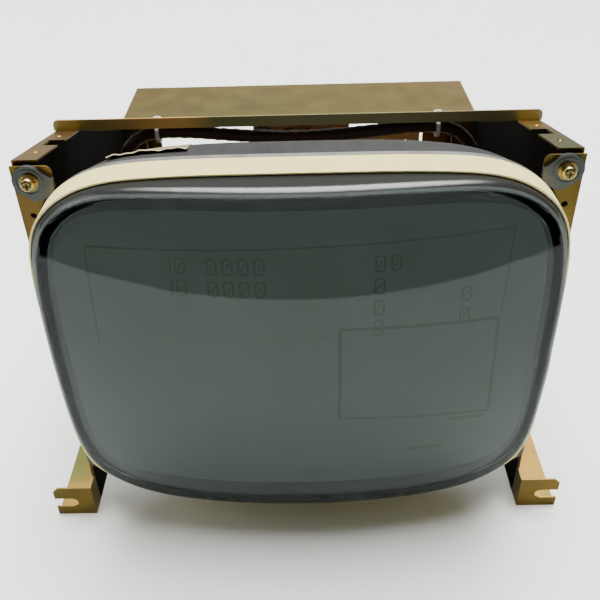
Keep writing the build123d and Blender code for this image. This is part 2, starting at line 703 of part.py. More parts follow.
def foot():
    """Front ear with an open slot, and the flange along the floor."""
    cut = 4.2
    outline = [(FRAME_IN, 0), (FOOT_X, 0), (FOOT_X, EAR_H - cut), (FOOT_X - cut, EAR_H), (FRAME_IN, EAR_H)]
    ear = front_prism(outline, EAR_Y, EAR_Y + SHEET)
    slot_low, slot_high, slot_end = 9.0, 17.9, 177.0
    radius = (slot_high - slot_low) / 2
    ear -= block(slot_end + radius, FOOT_X + 1, EAR_Y - 1, 0, slot_low, slot_high)
    ear -= rod(slot_end + radius, (slot_low + slot_high) / 2, EAR_Y - 1, 0, radius)
    return ear + block(FRAME_IN, FOOT_X, EAR_Y, FRAME_REAR, 0, SHEET)


def rear_flange(width):
    flange = block(FRAME_W - width, FRAME_W, FRAME_REAR - SHEET, FRAME_REAR, BOARD_Z + 10, COVER_TOP)
    flange -= rod(146, 179, FRAME_REAR - 5, FRAME_REAR + 5, 8.7)
    for z in (40.0, 130.0):
        flange -= rod(155, z, FRAME_REAR - 5, FRAME_REAR + 5, 1.7)
    return flange


def side_frame(rear_width):
    """Right-hand side frame; the left one is its mirror image but for the rear flange."""
    return side_plate() + front_flange() + top_flange() + foot() + rear_flange(rear_width)


def top_bar():
    """Angle bar across the top that joins the side frames and carries the coil."""
    upright = block(-BAR_W, BAR_W, BAR_Y, BAR_Y + SHEET, BAR_Z, BAR_Z + BAR_H)
    upright = fillet(upright.edges().filter_by(Axis.Y).group_by(Axis.Z)[-1], 3.5)
    bar = upright + block(-BAR_W, BAR_W, BAR_Y, TAB_END, BAR_Z, BAR_Z + SHEET)
    for side in (-1, 1):
        x = side * TIE_X
        bar -= block(x - 1.5, x + 1.5, COIL_Y - 5.6, COIL_Y + 4.6, BAR_Z - 1, BAR_Z + SHEET + 1)
        bar -= Pos(side * (FRAME_W - 7.5), TAB_END - 7, BAR_Z) * Cylinder(1.7, 20)
    return bar


def base_tray():
    """Floor of the frame with a lip in front that the coil is tied to."""
    tray = block(-FRAME_IN, FRAME_IN, LIP_Y, REAR_Y - SHEET, TRAY_Z, TRAY_Z + SHEET)
    tray += block(-FRAME_IN + 1, FRAME_IN - 1, LIP_Y, LIP_Y + SHEET, TRAY_Z, LIP_TOP)
    for x in range(-120, 121, 30):
        tray -= block(x - 3, x + 3, 130, 180, TRAY_Z - 1, TRAY_Z + 3)
    return tray


def rear_panel():
    """Low upright panel for the connectors and controls."""
    panel = block(-FRAME_IN + 1, FRAME_IN - 1, REAR_Y - 2 * SHEET, REAR_Y - SHEET, TRAY_Z + SHEET, PANEL_TOP)
    for x in CONTROL_X:
        panel -= rod(x, CONTROL_Z, REAR_Y - 5, REAR_Y + 5, 5.0)
    panel -= block(*SIGNAL_X, REAR_Y - 5, REAR_Y + 5, *CONNECTOR_Z)
    return panel - block(*POWER_X, REAR_Y - 5, REAR_Y + 5, *CONNECTOR_Z)


def rear_cover():
    """Bent cover over the neck: top, two sides and the flanges that bolt to the frames."""
    front = FRAME_REAR
    top = block(-FRAME_W, FRAME_W, front, REAR_Y, COVER_TOP - SHEET, COVER_TOP)
    side = block(FRAME_W - SHEET, FRAME_W, front, REAR_Y, TRAY_Z + SHEET, COVER_TOP)
    flange = block(FRAME_W - 22, FRAME_W, front, front + SHEET, TRAY_Z + SHEET, COVER_TOP)
    for z in (40.0, 130.0):
        flange -= rod(155, z, front - 5, front + 5, 1.7)
    lip = block(FRAME_W - 12, FRAME_W, REAR_Y - SHEET, REAR_Y, TRAY_Z + SHEET, COVER_TOP)
    wing = side + flange + lip
    for step in range(5):
        y = front + 22 + step * 12
        wing -= block(FRAME_W - 5, FRAME_W + 1, y, y + 4, 120, 175)
    rear_lip = block(-FRAME_W, FRAME_W, REAR_Y - SHEET, REAR_Y, COVER_TOP - 12, COVER_TOP)
    return top + rear_lip + wing + mirror(wing, about=Plane.YZ)


def small_screw_z(x, y, seat_z):
    head = Pos(x, y, seat_z + 1.1) * Cylinder(3.1, 2.2)
    head = fillet(head.edges().sort_by(Axis.Z)[-1], 1.2)
    for size in ((3.4, 0.8, 2.4), (0.8, 3.4, 2.4)):
        head -= Pos(x, y, seat_z + 2.2) * Box(*size)
    return head + Pos(x, y, seat_z - 3) * Cylinder(1.6, 6)


def frame_screws():
    """Small screws that hold the bar and the rear cover on the side frames."""
    screws = [small_screw_z(side * (FRAME_W - 7.5), TAB_END - 7, BAR_Z + SHEET) for side in (-1, 1)]
    for side in (-1, 1):
        for z in (40.0, 130.0):
            screws.append(pan_screw(side * 155, z, FRAME_REAR - SHEET, 6, 1.6, 3.1, 2.2))
    return group(screws)


# ---- electronics in the back --------------------------------------------------------
MAIN_BOARD = (-140.0, 140.0, 196.0, 352.0)
CONTROL_X = (-40.0, -15.0, 10.0)
CONTROL_Z = 62.0
SIGNAL_X, POWER_X, CONNECTOR_Z = (60.0, 99.0), (-118.0, -88.0), (52.0, 66.0)
BOARD_TOP = BOARD_Z + BOARD_T


def standoff_places():
    x0, x1, y0, y1 = MAIN_BOARD
    for x in (x0 + 8, 0, x1 - 8):
        for y in (y0 + 8, y1 - 8):
            yield x, y


def main_board():
    x0, x1, y0, y1 = MAIN_BOARD
    board = block(x0, x1, y0, y1, BOARD_Z, BOARD_TOP)
    for x, y in standoff_places():
        board -= Pos(x, y, BOARD_Z) * Cylinder(1.7, 10)
    return board


def board_standoffs():
    """Pillars under the main board, each with its screw above."""
    pillars = []
    for x, y in standoff_places():
        pillars.append(post(x, y, TRAY_Z + SHEET, BOARD_Z, 3.0) + post(x, y, BOARD_Z, BOARD_TOP, 1.5)
                       + post(x, y, BOARD_TOP, BOARD_TOP + 2, 3.0))
    return group(pillars)


KNOB_X, KNOB_FIT = 68.6, 0.06     # running fit of the knobs and shafts in their wells
FOCUS_Z, SCREEN_Z = 66.0, 44.0
KNOB_Y = 229.0


def flyback_transformer():
    """Potted body of the high-voltage transformer with its outlet and two control wells."""
    x0, x1, y0, y1 = FLYBACK
    body = block(x0, x1, y0, y1, BOARD_TOP + 4, FLYBACK_TOP)
    body = fillet(body.edges().filter_by(Axis.Z), 6)
    x, y = HV_OUTLET
    tower = post(x, y, FLYBACK_TOP, FLYBACK_TOP + 8, 6)
    box = block(x0 - 6, x0 + 1, y0 + 5, y1 - 5, BOARD_TOP + 14, FLYBACK_TOP - 12)
    body += tower + box
    for z in (FOCUS_Z, SCREEN_Z):
        body -= Pos(KNOB_X, KNOB_Y, z) * Rot(0, 90, 0) * Cylinder(4.0 + KNOB_FIT, 6.4)
    body -= block(x0 + 8, x1 - 8, y1 - 11, y1 + 1, BOARD_TOP + 3, FLYBACK_TOP - 20)
    legs = [post(x0 + 6 + 7 * i, y0 + 6, BOARD_TOP, BOARD_TOP + 4, 0.8) for i in range(5)]
    for leg in legs:
        body += leg
    return body


def flyback_core():
    """Ferrite frame that passes through the transformer and closes behind it."""
    x0, x1, y0, y1 = FLYBACK
    z0, z1 = BOARD_TOP + 1, FLYBACK_TOP - 22
    frame = block(x0 + 9, x1 - 9, y1 - 10.5, y1 + 22, z0 + 4, z1)
    window = block(x0, x1, y1 + 0.5, y1 + 12, z0 + 15, z1 - 11)
    return frame - window


def flyback_knob(z):
    """Slotted control knob on the side of the high-voltage transformer."""
    knob = Pos(KNOB_X - 3.2, KNOB_Y, z) * Rot(0, 90, 0) * Cylinder(4.0, 6.4)
    return knob - Pos(KNOB_X - 6.4, KNOB_Y, z) * Box(2.4, 6.4, 1.0)


def heat_sinks():
    """Finned aluminium plates for the power transistors."""
    sinks = []
    for x0, y0 in ((-137.0, 210.0), (-137.0, 278.0)):
        sink = block(x0, x0 + 3, y0, y0 + 56, BOARD_TOP, BOARD_TOP + 62)
        for fin in range(6):
            y = y0 + 2 + fin * 10
            sink += block(x0 + 3, x0 + 15, y, y + 1.6, BOARD_TOP, BOARD_TOP + 62)
        sinks.append(sink)
    return group(sinks)


# x, y, radius and height of the electrolytic capacitors
CAPACITORS = [
    (-70, 322, 12.5, 40), (-40, 326, 11, 35), (-95, 232, 9, 28),
    (-14, 328, 8, 25), (-72, 224, 6.3, 20), (12, 330, 6.3, 20),
    (36, 328, 8, 25), (129, 219, 8, 25), (132, 240, 6.3, 16),
]


def capacitors():
    cans = []
    for x, y, radius, height in CAPACITORS:
        can = post(x, y, BOARD_TOP, BOARD_TOP + height, radius)
        cans.append(fillet(can.edges().sort_by(Axis.Z)[-1], 0.8))
    return cans


TRANSFORMER = (-48.0, 268.0)


def about_transformer(half_x, y0, y1, z0, z1):
    """A block centred on the transformer, its heights counted from the board."""
    x, y = TRANSFORMER
    return block(x - half_x, x + half_x, y + y0, y + y1, BOARD_TOP + z0, BOARD_TOP + z1)


def power_transformer():
    """Switching transformer: ferrite frame, winding and bobbin feet."""
    core = about_transformer(22, -7, 7, 3, 40) - about_transformer(14, -8, 8, 11, 32)
    winding = about_transformer(13.8, -16, 16, 11.2, 31.8)
    winding = fillet(winding.edges().filter_by(Axis.X), 5)
    bobbin = about_transformer(18, -17, -7.2, 0, 8) + about_transformer(18, 7.2, 17, 0, 8)
    return [core, winding, bobbin]


def deflection_board():
    """Upright board beside the neck, with its parts towards the back."""
    y, low = 264.0, BOARD_TOP + 66
    board = block(38, 112, y, y + BOARD_T, low, 192)
    board += block(42, 50, y, y + BOARD_T, BOARD_TOP, low)
    y += BOARD_T
    relay, transistor = block(44, 64, y, y + 16, 160, 176), block(72, 84, y, y + 7, 150, 180)
    choke = block(90, 106, y, y + 12, 158, 178)
    cans = [rod(x, 132, y, y + 14, 5.0) for x in range(50, 99, 16)]
    strips = [block(56, 104, y, y + 4, z, z + 6) for z in (100.0, 112.0)]
    return group([board, relay, transistor, choke] + cans + strips)


# x0, x1, y0, y1 and height of the box-shaped parts on the main board
BOARD_BLOCKS = [
    (-108, -84, 262, 282, 18),
    (-20, 10, 214, 226, 9),
    (20, 46, 214, 226, 9),
    (0, 30, 300, 308, 4),
    (56, 84, 296, 304, 4),
    (-20, -2, 250, 268, 14),
]


def board_resistors():
    """Six large resistors beside the rear controls' wiring and five small ones in a row."""
    across = [Pos(124, 300 + 7 * i, BOARD_TOP + 3) * Rot(0, 90, 0) * Cylinder(2.4, 16) for i in range(6)]
    along = [rod(14 * i - 2, BOARD_TOP + 2.2, 235.5, 248.5, 2.0) for i in range(5)]
    return across + along


def board_parts():
    """Relay, connectors, chips, resistors, capacitors and transformer on the main board."""
    blocks = [block(x0, x1, y0, y1, BOARD_TOP, BOARD_TOP + high) for x0, x1, y0, y1, high in BOARD_BLOCKS]
    return group(blocks + board_resistors() + capacitors() + power_transformer())


def connector_shell(x_span, back):
    x0, x1 = x_span
    z0, z1 = CONNECTOR_Z
    y = REAR_Y - SHEET
    flange = block(x0 - 7, x1 + 7, y, y + 1.2, z0 - 1, z1 + 1)
    body = block(x0 + 0.5, x1 - 0.5, y - back, y + 7, z0 + 0.5, z1 - 0.5)
    mouth = block(x0 + 2.5, x1 - 2.5, y + 1, y + 8, z0 + 2.5, z1 - 2.5)
    return flange + body - mouth


def rear_connectors():
    """Signal and power sockets in the rear panel."""
    return group([connector_shell(SIGNAL_X, 12), connector_shell(POWER_X, 18)])


def control_housings():
    """Bodies of the rear controls, held by their bushes in the panel."""
    y = REAR_Y - 2 * SHEET
    housings = []
    for x in CONTROL_X:
        body = block(x - 8, x + 8, y - 11, y, CONTROL_Z - 9, CONTROL_Z + 9)
        bush = rod(x, CONTROL_Z, y, y + 5, 4.8)
        housings.append(body + bush - rod(x, CONTROL_Z, y - 6, y + 6, 3.0 + KNOB_FIT))
    return group(housings)


def control_shaft(index):
    """Slotted shaft of a rear picture control."""
    x = CONTROL_X[index]
    y = REAR_Y - 2 * SHEET
    shaft = rod(x, CONTROL_Z, y - 5.6, SHAFT_TIP_Y, 3.0)
    return shaft - Pos(x, SHAFT_TIP_Y, CONTROL_Z) * Box(7, 2.4, 1.0)


LABEL_X, LABEL_Y = (-113.0, -64.0), (13.0, 42.0)


def funnel_label(glass_outer):
    """Paper label stuck on the top left of the funnel."""
    thick = 0.25
    skin = loft([oval_face(y, w + thick, h + thick, n) for y, w, h, n, t in FUNNEL[:4]])
    patch = block(*LABEL_X, *LABEL_Y, AXIS_Z + 60, AXIS_Z + 140)
    return (skin & patch) - glass_outer


# ---- the whole object ---------------------------------------------------------------
def build():
    glass = funnel_solid()
    nodes = {
        "glass_panel": glass_panel(),
        "phosphor_screen": phosphor_screen(),
        "shadow_mask": shadow_mask(),
        "mask_frame": mask_frame(),
        "mask_springs": mask_springs(),
        "inner_shield": inner_shield(),
        "glass_funnel": glass - funnel_solid(offset=1.0),
        "neck_tube": neck_tube(),
        "base_pins": base_pins(),
        "electron_gun": electron_gun(),
        "rim_band": rim_band(),
        "band_tape": band_tape(),
        "mounting_lugs": mounting_lugs(),
        "corner_screws": corner_screws(),
        "corner_washers": corner_washers(),
        "anode_cap": anode_cap(glass),
        "anode_lead": anode_lead(),
        "funnel_label": funnel_label(glass),
        "line_coils": line_coils(),
        "yoke_former": yoke_former(),
        "ferrite_core": ferrite_core(),
        "frame_coils": frame_coils(),
        "core_clips": core_clips(),
        "yoke_terminals": yoke_terminals(),
        "yoke_wedges": yoke_wedges(glass),
        "neck_clamps": neck_clamps(),
        "ring_sleeve": ring_sleeve(),
        "lock_ring": lock_ring(),
        "tube_socket": tube_socket(),
        "neck_board": neck_board(),
        "neck_board_parts": neck_board_parts(),
        "degauss_coil": degauss_coil(),
        "cable_ties": cable_ties(),
        "side_frame_right": side_frame(50.0),
        "side_frame_left": mirror(side_frame(36.0), about=Plane.YZ),
        "top_bar": top_bar(),
        "base_tray": base_tray(),
        "rear_panel": rear_panel(),
        "rear_cover": rear_cover(),
        "frame_screws": frame_screws(),
        "main_board": main_board(),
        "board_standoffs": board_standoffs(),
        "flyback_transformer": flyback_transformer(),
        "flyback_core": flyback_core(),
        "focus_knob": flyback_knob(FOCUS_Z),
        "screen_knob": flyback_knob(SCREEN_Z),
        "control_housings": control_housings(),
        "rear_connectors": rear_connectors(),
        "heat_sinks": heat_sinks(),
        "board_parts": board_parts(),
        "deflection_board": deflection_board(),
    }
    for index, name in enumerate(("brightness", "contrast", "height")):
        nodes[f"{name}_shaft"] = control_shaft(index)
    for index, name in enumerate(("purity", "four_pole", "six_pole")):
        for partner, letter in enumerate("ab"):
            nodes[f"{name}_ring_{letter}"] = magnet_ring(2 * index + partner)
    return nodes


def main():
    os.makedirs("parts", exist_ok=True)
    to_origin = Pos(0, -(FACE_Y + SHAFT_TIP_Y) / 2, 0)
    for name, shape in build().items():
        export_step(to_origin * shape, f"parts/{name}.step")
        print(name, round(shape.volume))


main()
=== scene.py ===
"""The looks of a 14 inch colour picture tube in its plated steel frame.

Everything is in metres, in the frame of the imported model: +Z up, the screen faces -Y.
"""
import random
from math import cos, pi, radians, sin, sqrt

import bmesh
import bpy
from mathutils import Matrix, Vector


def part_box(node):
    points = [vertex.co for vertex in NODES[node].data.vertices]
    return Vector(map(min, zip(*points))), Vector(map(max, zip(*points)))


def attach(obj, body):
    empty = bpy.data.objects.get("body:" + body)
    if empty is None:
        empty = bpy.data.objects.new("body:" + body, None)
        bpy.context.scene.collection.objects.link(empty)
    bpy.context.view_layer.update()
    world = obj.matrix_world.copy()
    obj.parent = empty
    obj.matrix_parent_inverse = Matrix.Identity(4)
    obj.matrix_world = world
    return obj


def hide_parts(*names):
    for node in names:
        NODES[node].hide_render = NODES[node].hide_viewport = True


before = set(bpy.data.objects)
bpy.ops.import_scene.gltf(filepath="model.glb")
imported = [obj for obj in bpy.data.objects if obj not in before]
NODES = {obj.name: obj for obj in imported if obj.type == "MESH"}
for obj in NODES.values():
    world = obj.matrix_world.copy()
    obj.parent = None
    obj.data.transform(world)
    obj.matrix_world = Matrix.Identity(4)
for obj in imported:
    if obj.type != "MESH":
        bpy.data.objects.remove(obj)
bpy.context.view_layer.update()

MM = 0.001
CHASSIS = "chassis"
rng = random.Random(14)

# ---- places taken from the frame ----
NECK_LOW, NECK_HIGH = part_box("neck_tube")
AXIS_Z = (NECK_LOW.z + NECK_HIGH.z) / 2
FACE_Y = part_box("glass_panel")[0].y
NECK_FRONT = NECK_LOW.y
NECK_R = NECK_HIGH.x
HORN_LENGTH, HORN_GROWTH, HORN_CURVE = 70 * MM, 36 * MM, 1.7
FACE_R = 575 * MM
MOUNT_Y = FACE_Y + 56 * MM            # front of the side frames' flanges


def at(x, y, z):
    """A point given in millimetres, its depth counted from the mounting plane."""
    return Vector((x * MM, MOUNT_Y + y * MM, z * MM))


def round_axis(radius, turn, y):
    """A point round the tube axis; turn 0 is towards +X and a quarter turn is up."""
    return Vector((radius * cos(turn), y, AXIS_Z + radius * sin(turn)))


# ---- camera ----
CAMERA_AT = (0.003824, -0.558364, 0.488018)
PITCH, YAW, ROLL = 36.182, -0.6146, -1.5664
LENS, SENSOR = 45.895, 36


def make_camera():
    pitch, yaw, roll = radians(PITCH), radians(YAW), radians(ROLL)
    ahead = Vector((sin(yaw) * cos(pitch), cos(yaw) * cos(pitch), -sin(pitch)))
    right = Vector((cos(yaw), -sin(yaw), 0))
    up = right.cross(ahead)
    right, up = right * cos(roll) + up * sin(roll), up * cos(roll) - right * sin(roll)
    data = bpy.data.cameras.new("camera")
    data.lens, data.sensor_width = LENS, SENSOR
    camera = bpy.data.objects.new("camera", data)
    turn = Matrix((right, up, -ahead)).transposed().to_4x4()
    camera.matrix_world = Matrix.Translation(CAMERA_AT) @ turn
    bpy.context.scene.collection.objects.link(camera)
    bpy.context.scene.camera = camera


make_camera()


# ---- materials ----
def rgb(red, green, blue):
    """A display colour, 0 to 255, as the linear colour the shaders use."""
    def linear(value):
        value /= 255
        return value / 12.92 if value < 0.04045 else ((value + 0.055) / 1.055) ** 2.4
    return (linear(red), linear(green), linear(blue), 1.0)


def dimmed(colour, share):
    return tuple(channel * share for channel in colour[:3]) + (1,)


def add_node(tree, kind, inputs=(), **settings):
    """A shader node; each input is given a number, or a socket to follow."""
    made = tree.nodes.new(kind)
    for key, value in settings.items():
        setattr(made, key, value)
    for key, value in dict(inputs).items():
        join(tree, value, made.inputs[key])
    return made


def join(tree, value, socket):
    if isinstance(value, bpy.types.NodeSocket):
        tree.links.new(value, socket)
    else:
        socket.default_value = value


class Look:
    """One procedural material; its patterns are fixed to the piece, in metres."""

    def __init__(self, name, rough=0.5, metal=0.0, **constants):
        self.material = bpy.data.materials.new(name)
        self.material.use_nodes = True
        self.tree = self.material.node_tree
        self.shader = self.tree.nodes["Principled BSDF"]
        self.place = self.node("ShaderNodeTexCoord").outputs["Object"]
        for key, value in {"Roughness": rough, "Metallic": metal, **constants}.items():
            self.shader.inputs[key.replace("_", " ")].default_value = value

    def node(self, kind, inputs=(), **settings):
        return add_node(self.tree, kind, inputs, **settings)

    def link(self, value, socket):
        join(self.tree, value, socket)

    def noise(self, size, detail=3.0, stretch=(1, 1, 1), distortion=0.0):
        """Cloudy noise whose lumps are about size metres wide."""
        mapping = self.node("ShaderNodeMapping", {"Vector": self.place, "Scale": stretch})
        made = self.node("ShaderNodeTexNoise", {
            "Vector": mapping.outputs["Vector"], "Scale": 1 / size, "Detail": detail,
            "Distortion": distortion})
        return made.outputs["Fac"]

    def cell_edges(self, size):
        """Distance to the nearest border between cells about size metres wide."""
        scale = {"Vector": self.place, "Scale": 1 / size}
        return self.node("ShaderNodeTexVoronoi", scale, feature="DISTANCE_TO_EDGE").outputs["Distance"]

    def stripes(self, size, axis):
        scale = {"Vector": self.place, "Scale": 0.314 / size}
        return self.node("ShaderNodeTexWave", scale, bands_direction=axis).outputs["Fac"]

    def part(self, vector, letter):
        return self.node("ShaderNodeSeparateXYZ", {0: vector}).outputs[letter]

    def maths(self, operation, one, two=0.0):
        return self.node("ShaderNodeMath", {0: one, 1: two}, operation=operation).outputs[0]

    def span(self, value, low, high, to_low=0.0, to_high=1.0):
        made = self.node("ShaderNodeMapRange", {
            "Value": value, "From Min": low, "From Max": high, "To Min": to_low, "To Max": to_high})
        return made.outputs["Result"]

    def ramp(self, factor, *stops):
        made = self.node("ShaderNodeValToRGB", {"Fac": factor})
        elements = made.color_ramp.elements
        while len(elements) < len(stops):
            elements.new(0.5)
        for element, (place, colour) in zip(elements, stops):
            element.position, element.color = place, colour
        return made.outputs["Color"]

    def mix(self, factor, one, two, blend="MIX"):
        inputs = {"Factor": factor, 6: one, 7: two}
        return self.node("ShaderNodeMix", inputs, data_type="RGBA", blend_type=blend).outputs[2]

    def colour(self, value):
        self.link(value, self.shader.inputs["Base Color"])
        return self

    def rough(self, value, low, high):
        self.link(self.span(value, 0.25, 0.75, low, high), self.shader.inputs["Roughness"])
        return self

    def bump(self, height, distance, strength=1.0):
        """Raises the surface by distance metres where height is 1; later bumps add to earlier ones."""
        made = self.node("ShaderNodeBump", {"Strength": strength, "Distance": distance, "Height": height})
        normal = self.shader.inputs["Normal"]
        if normal.links:
            self.link(normal.links[0].from_socket, made.inputs["Normal"])
        self.link(made.outputs["Normal"], normal)
        return self


def plated(name, olive, gold, blush, green, rough=(0.3, 0.46), cloud=0.11):
    """Yellow-chromated zinc on sheet steel: satin, with drifting rainbow tints."""
    look = Look(name, metal=1.0)
    drift = look.noise(cloud, 2.0, distortion=0.6)
    base = look.ramp(drift, (0.34, green), (0.44, olive), (0.55, gold), (0.66, blush))
    patches = look.ramp(look.noise(0.028, 4.0), (0.3, (0.78, 0.78, 0.78, 1)), (0.7, (1, 1, 1, 1)))
    shade = look.mix(0.55, base, patches, "MULTIPLY")
    specks = look.span(look.noise(0.0009, 2.0), 0.60, 0.72)
    look.colour(look.mix(specks, shade, rgb(112, 96, 60)))
    look.rough(look.noise(0.02, 4.0), *rough)
    look.bump(look.noise(0.0035, 3.0, stretch=(1, 0.12, 1)), 0.00004, 0.6)
    return look.bump(look.noise(0.0007, 2.0), 0.00002, 0.5)


OLIVE, GOLD = rgb(122, 106, 56), rgb(160, 128, 62)
BLUSH, GREEN = rgb(144, 114, 68), rgb(106, 106, 60)


def bar_painted_reflection_look():
    """The same plating on the top bar, with a painted reflection along it that makes a warm band near its
    left end.
    """
    look = plated("bar_zinc_painted_reflection", OLIVE, GOLD, BLUSH, GREEN)
    along = look.span(look.part(look.place, "X"), -0.167, 0.167)
    reflection_place = look.maths("ADD", along, look.span(look.noise(0.02), 0, 1, -0.02, 0.02))
    # the colours along the bar, the warm orange band above all, are a painted reflection, not the plating's
    # own tint
    tint = look.ramp(reflection_place, (0.0, rgb(148, 142, 84)), (0.10, rgb(172, 150, 84)), (0.20, rgb(240, 182, 100)),
                     (0.27, rgb(244, 188, 104)), (0.33, rgb(140, 141, 90)), (0.5, rgb(150, 148, 102)),
                     (0.72, rgb(154, 150, 110)), (1.0, rgb(150, 144, 98)))
    old = look.shader.inputs["Base Color"].links[0].from_socket
    look.shader.inputs["Metallic"].default_value = 0.6
    return look.colour(look.mix(0.8, old, tint))


def steel(name, colour, rough=(0.28, 0.5)):
    look = Look(name, metal=1.0)
    look.colour(look.mix(look.noise(0.012, 4.0), colour, dimmed(colour, 0.72)))
    look.rough(look.noise(0.006, 3.0), *rough)
    return look.bump(look.noise(0.0012, 2.0, stretch=(1, 1, 0.1)), 0.00002, 0.5)


def moulded(name, colour, rough=(0.35, 0.5), grain=0.0011, spread=0.85, **constants):
    """Moulded plastic or rubber with a fine grain and slight blotches."""
    look = Look(name, **constants)
    look.colour(look.mix(look.noise(0.014, 4.0), dimmed(colour, spread), colour))
    look.rough(look.noise(0.008, 3.0), *rough)
    return look.bump(look.noise(grain, 2.0), 0.00003, 0.5)


def enamelled_wire(name, colour):
    look = Look(name, Coat_Weight=0.6, Coat_Roughness=0.15)
    look.colour(look.mix(look.noise(0.006, 3.0), colour, dimmed(colour, 0.6)))
    return look.rough(look.noise(0.004), 0.25, 0.45)


def graphite_look():
    """Brushed-on conductive coat of the funnel."""
    look = Look("funnel_graphite", Specular_IOR_Level=0.2)
    streaks = look.noise(0.006, 4.0, stretch=(1, 0.15, 1), distortion=0.4)
    base = look.ramp(streaks, (0.3, rgb(38, 38, 40)), (0.7, rgb(52, 52, 53)))
    clouds = look.noise(0.05, 3.0)
    look.colour(look.mix(look.span(clouds, 0.35, 0.7), base, rgb(56, 55, 54)))
    look.rough(clouds, 0.72, 0.56)
    look.bump(streaks, 0.00008, 0.5)
    return look.bump(look.noise(0.0006, 2.0), 0.00003, 0.5)


def tape_look():
    """Cream glass-cloth tape: fine weave, speckled with dirt."""
    look = Look("rim_tape", rough=0.85, Sheen_Weight=0.15, Sheen_Roughness=0.5)
    base = look.mix(look.noise(0.02, 4.0), rgb(230, 218, 146), rgb(218, 204, 130))
    dirt = look.span(look.noise(0.0011, 3.0), 0.60, 0.74)
    worn = look.mix(look.maths("MULTIPLY", dirt, 0.55), base, rgb(150, 134, 92))
    stains = look.span(look.noise(0.035, 5.0), 0.58, 0.8)
    look.colour(look.mix(look.maths("MULTIPLY", stains, 0.45), worn, rgb(176, 158, 116)))
    look.bump(look.stripes(0.0007, "X"), 0.00003, 0.5)
    look.bump(look.stripes(0.0007, "Y"), 0.00003, 0.5)
    return look.bump(look.noise(0.012, 3.0), 0.0004, 0.35)


def board_look(name, face, copper):
    """Printed board: resin face with the copper tracks showing through."""
    look = Look(name, rough=0.4)
    paths = look.span(look.cell_edges(0.0075), 0.03, 0.06, 1.0, 0.0)
    base = look.mix(look.noise(0.02, 3.0), face, dimmed(face, 0.8))
    look.colour(look.mix(paths, base, copper))
    look.rough(look.noise(0.01), 0.32, 0.5)
    return look.bump(paths, 0.00004, 0.6)


def glass_look():
    """Grey-tinted face glass, clear in front; round its skirt the clear glass is made opaque dark grey,
    painting in the dark inside and the grey reflections seen there.
    """
    look = Look("face_glass", IOR=1.52)
    smear = look.noise(0.05, 4.0, distortion=1.0)
    facing = look.part(look.node("ShaderNodeNewGeometry").outputs["Normal"], "Y")
    painted_skirt = look.span(look.maths("ABSOLUTE", facing), 0.9, 0.66)
    tint = look.mix(smear, rgb(140, 152, 147), rgb(148, 159, 154))
    # the skirt's opaque dark grey is painted: it stands for the dark inside and the reflections on clear
    # glass
    look.colour(look.mix(painted_skirt, tint, rgb(34, 35, 33)))
    look.link(look.span(painted_skirt, 0, 1, 1, 0), look.shader.inputs["Transmission Weight"])
    haze = look.span(smear, 0.25, 0.75, 0.015, 0.05)
    look.link(look.maths("ADD", haze, look.maths("MULTIPLY", painted_skirt, 0.16)), look.shader.inputs["Roughness"])
    return look


def phosphor_look():
    """Three-colour phosphor stripes, seen as one grey-green field."""
    look = Look("phosphor", rough=0.8)
    field = look.mix(look.noise(0.12, 2.0), rgb(138, 150, 142), rgb(150, 160, 151))
    thin = look.stripes(0.0003, "X")
    look.colour(look.mix(look.maths("MULTIPLY", thin, 0.12), field, rgb(98, 106, 100)))
    return look.bump(thin, 0.00001, 0.4)


LOOKS = {}


def look(name):
    return LOOKS[name].material


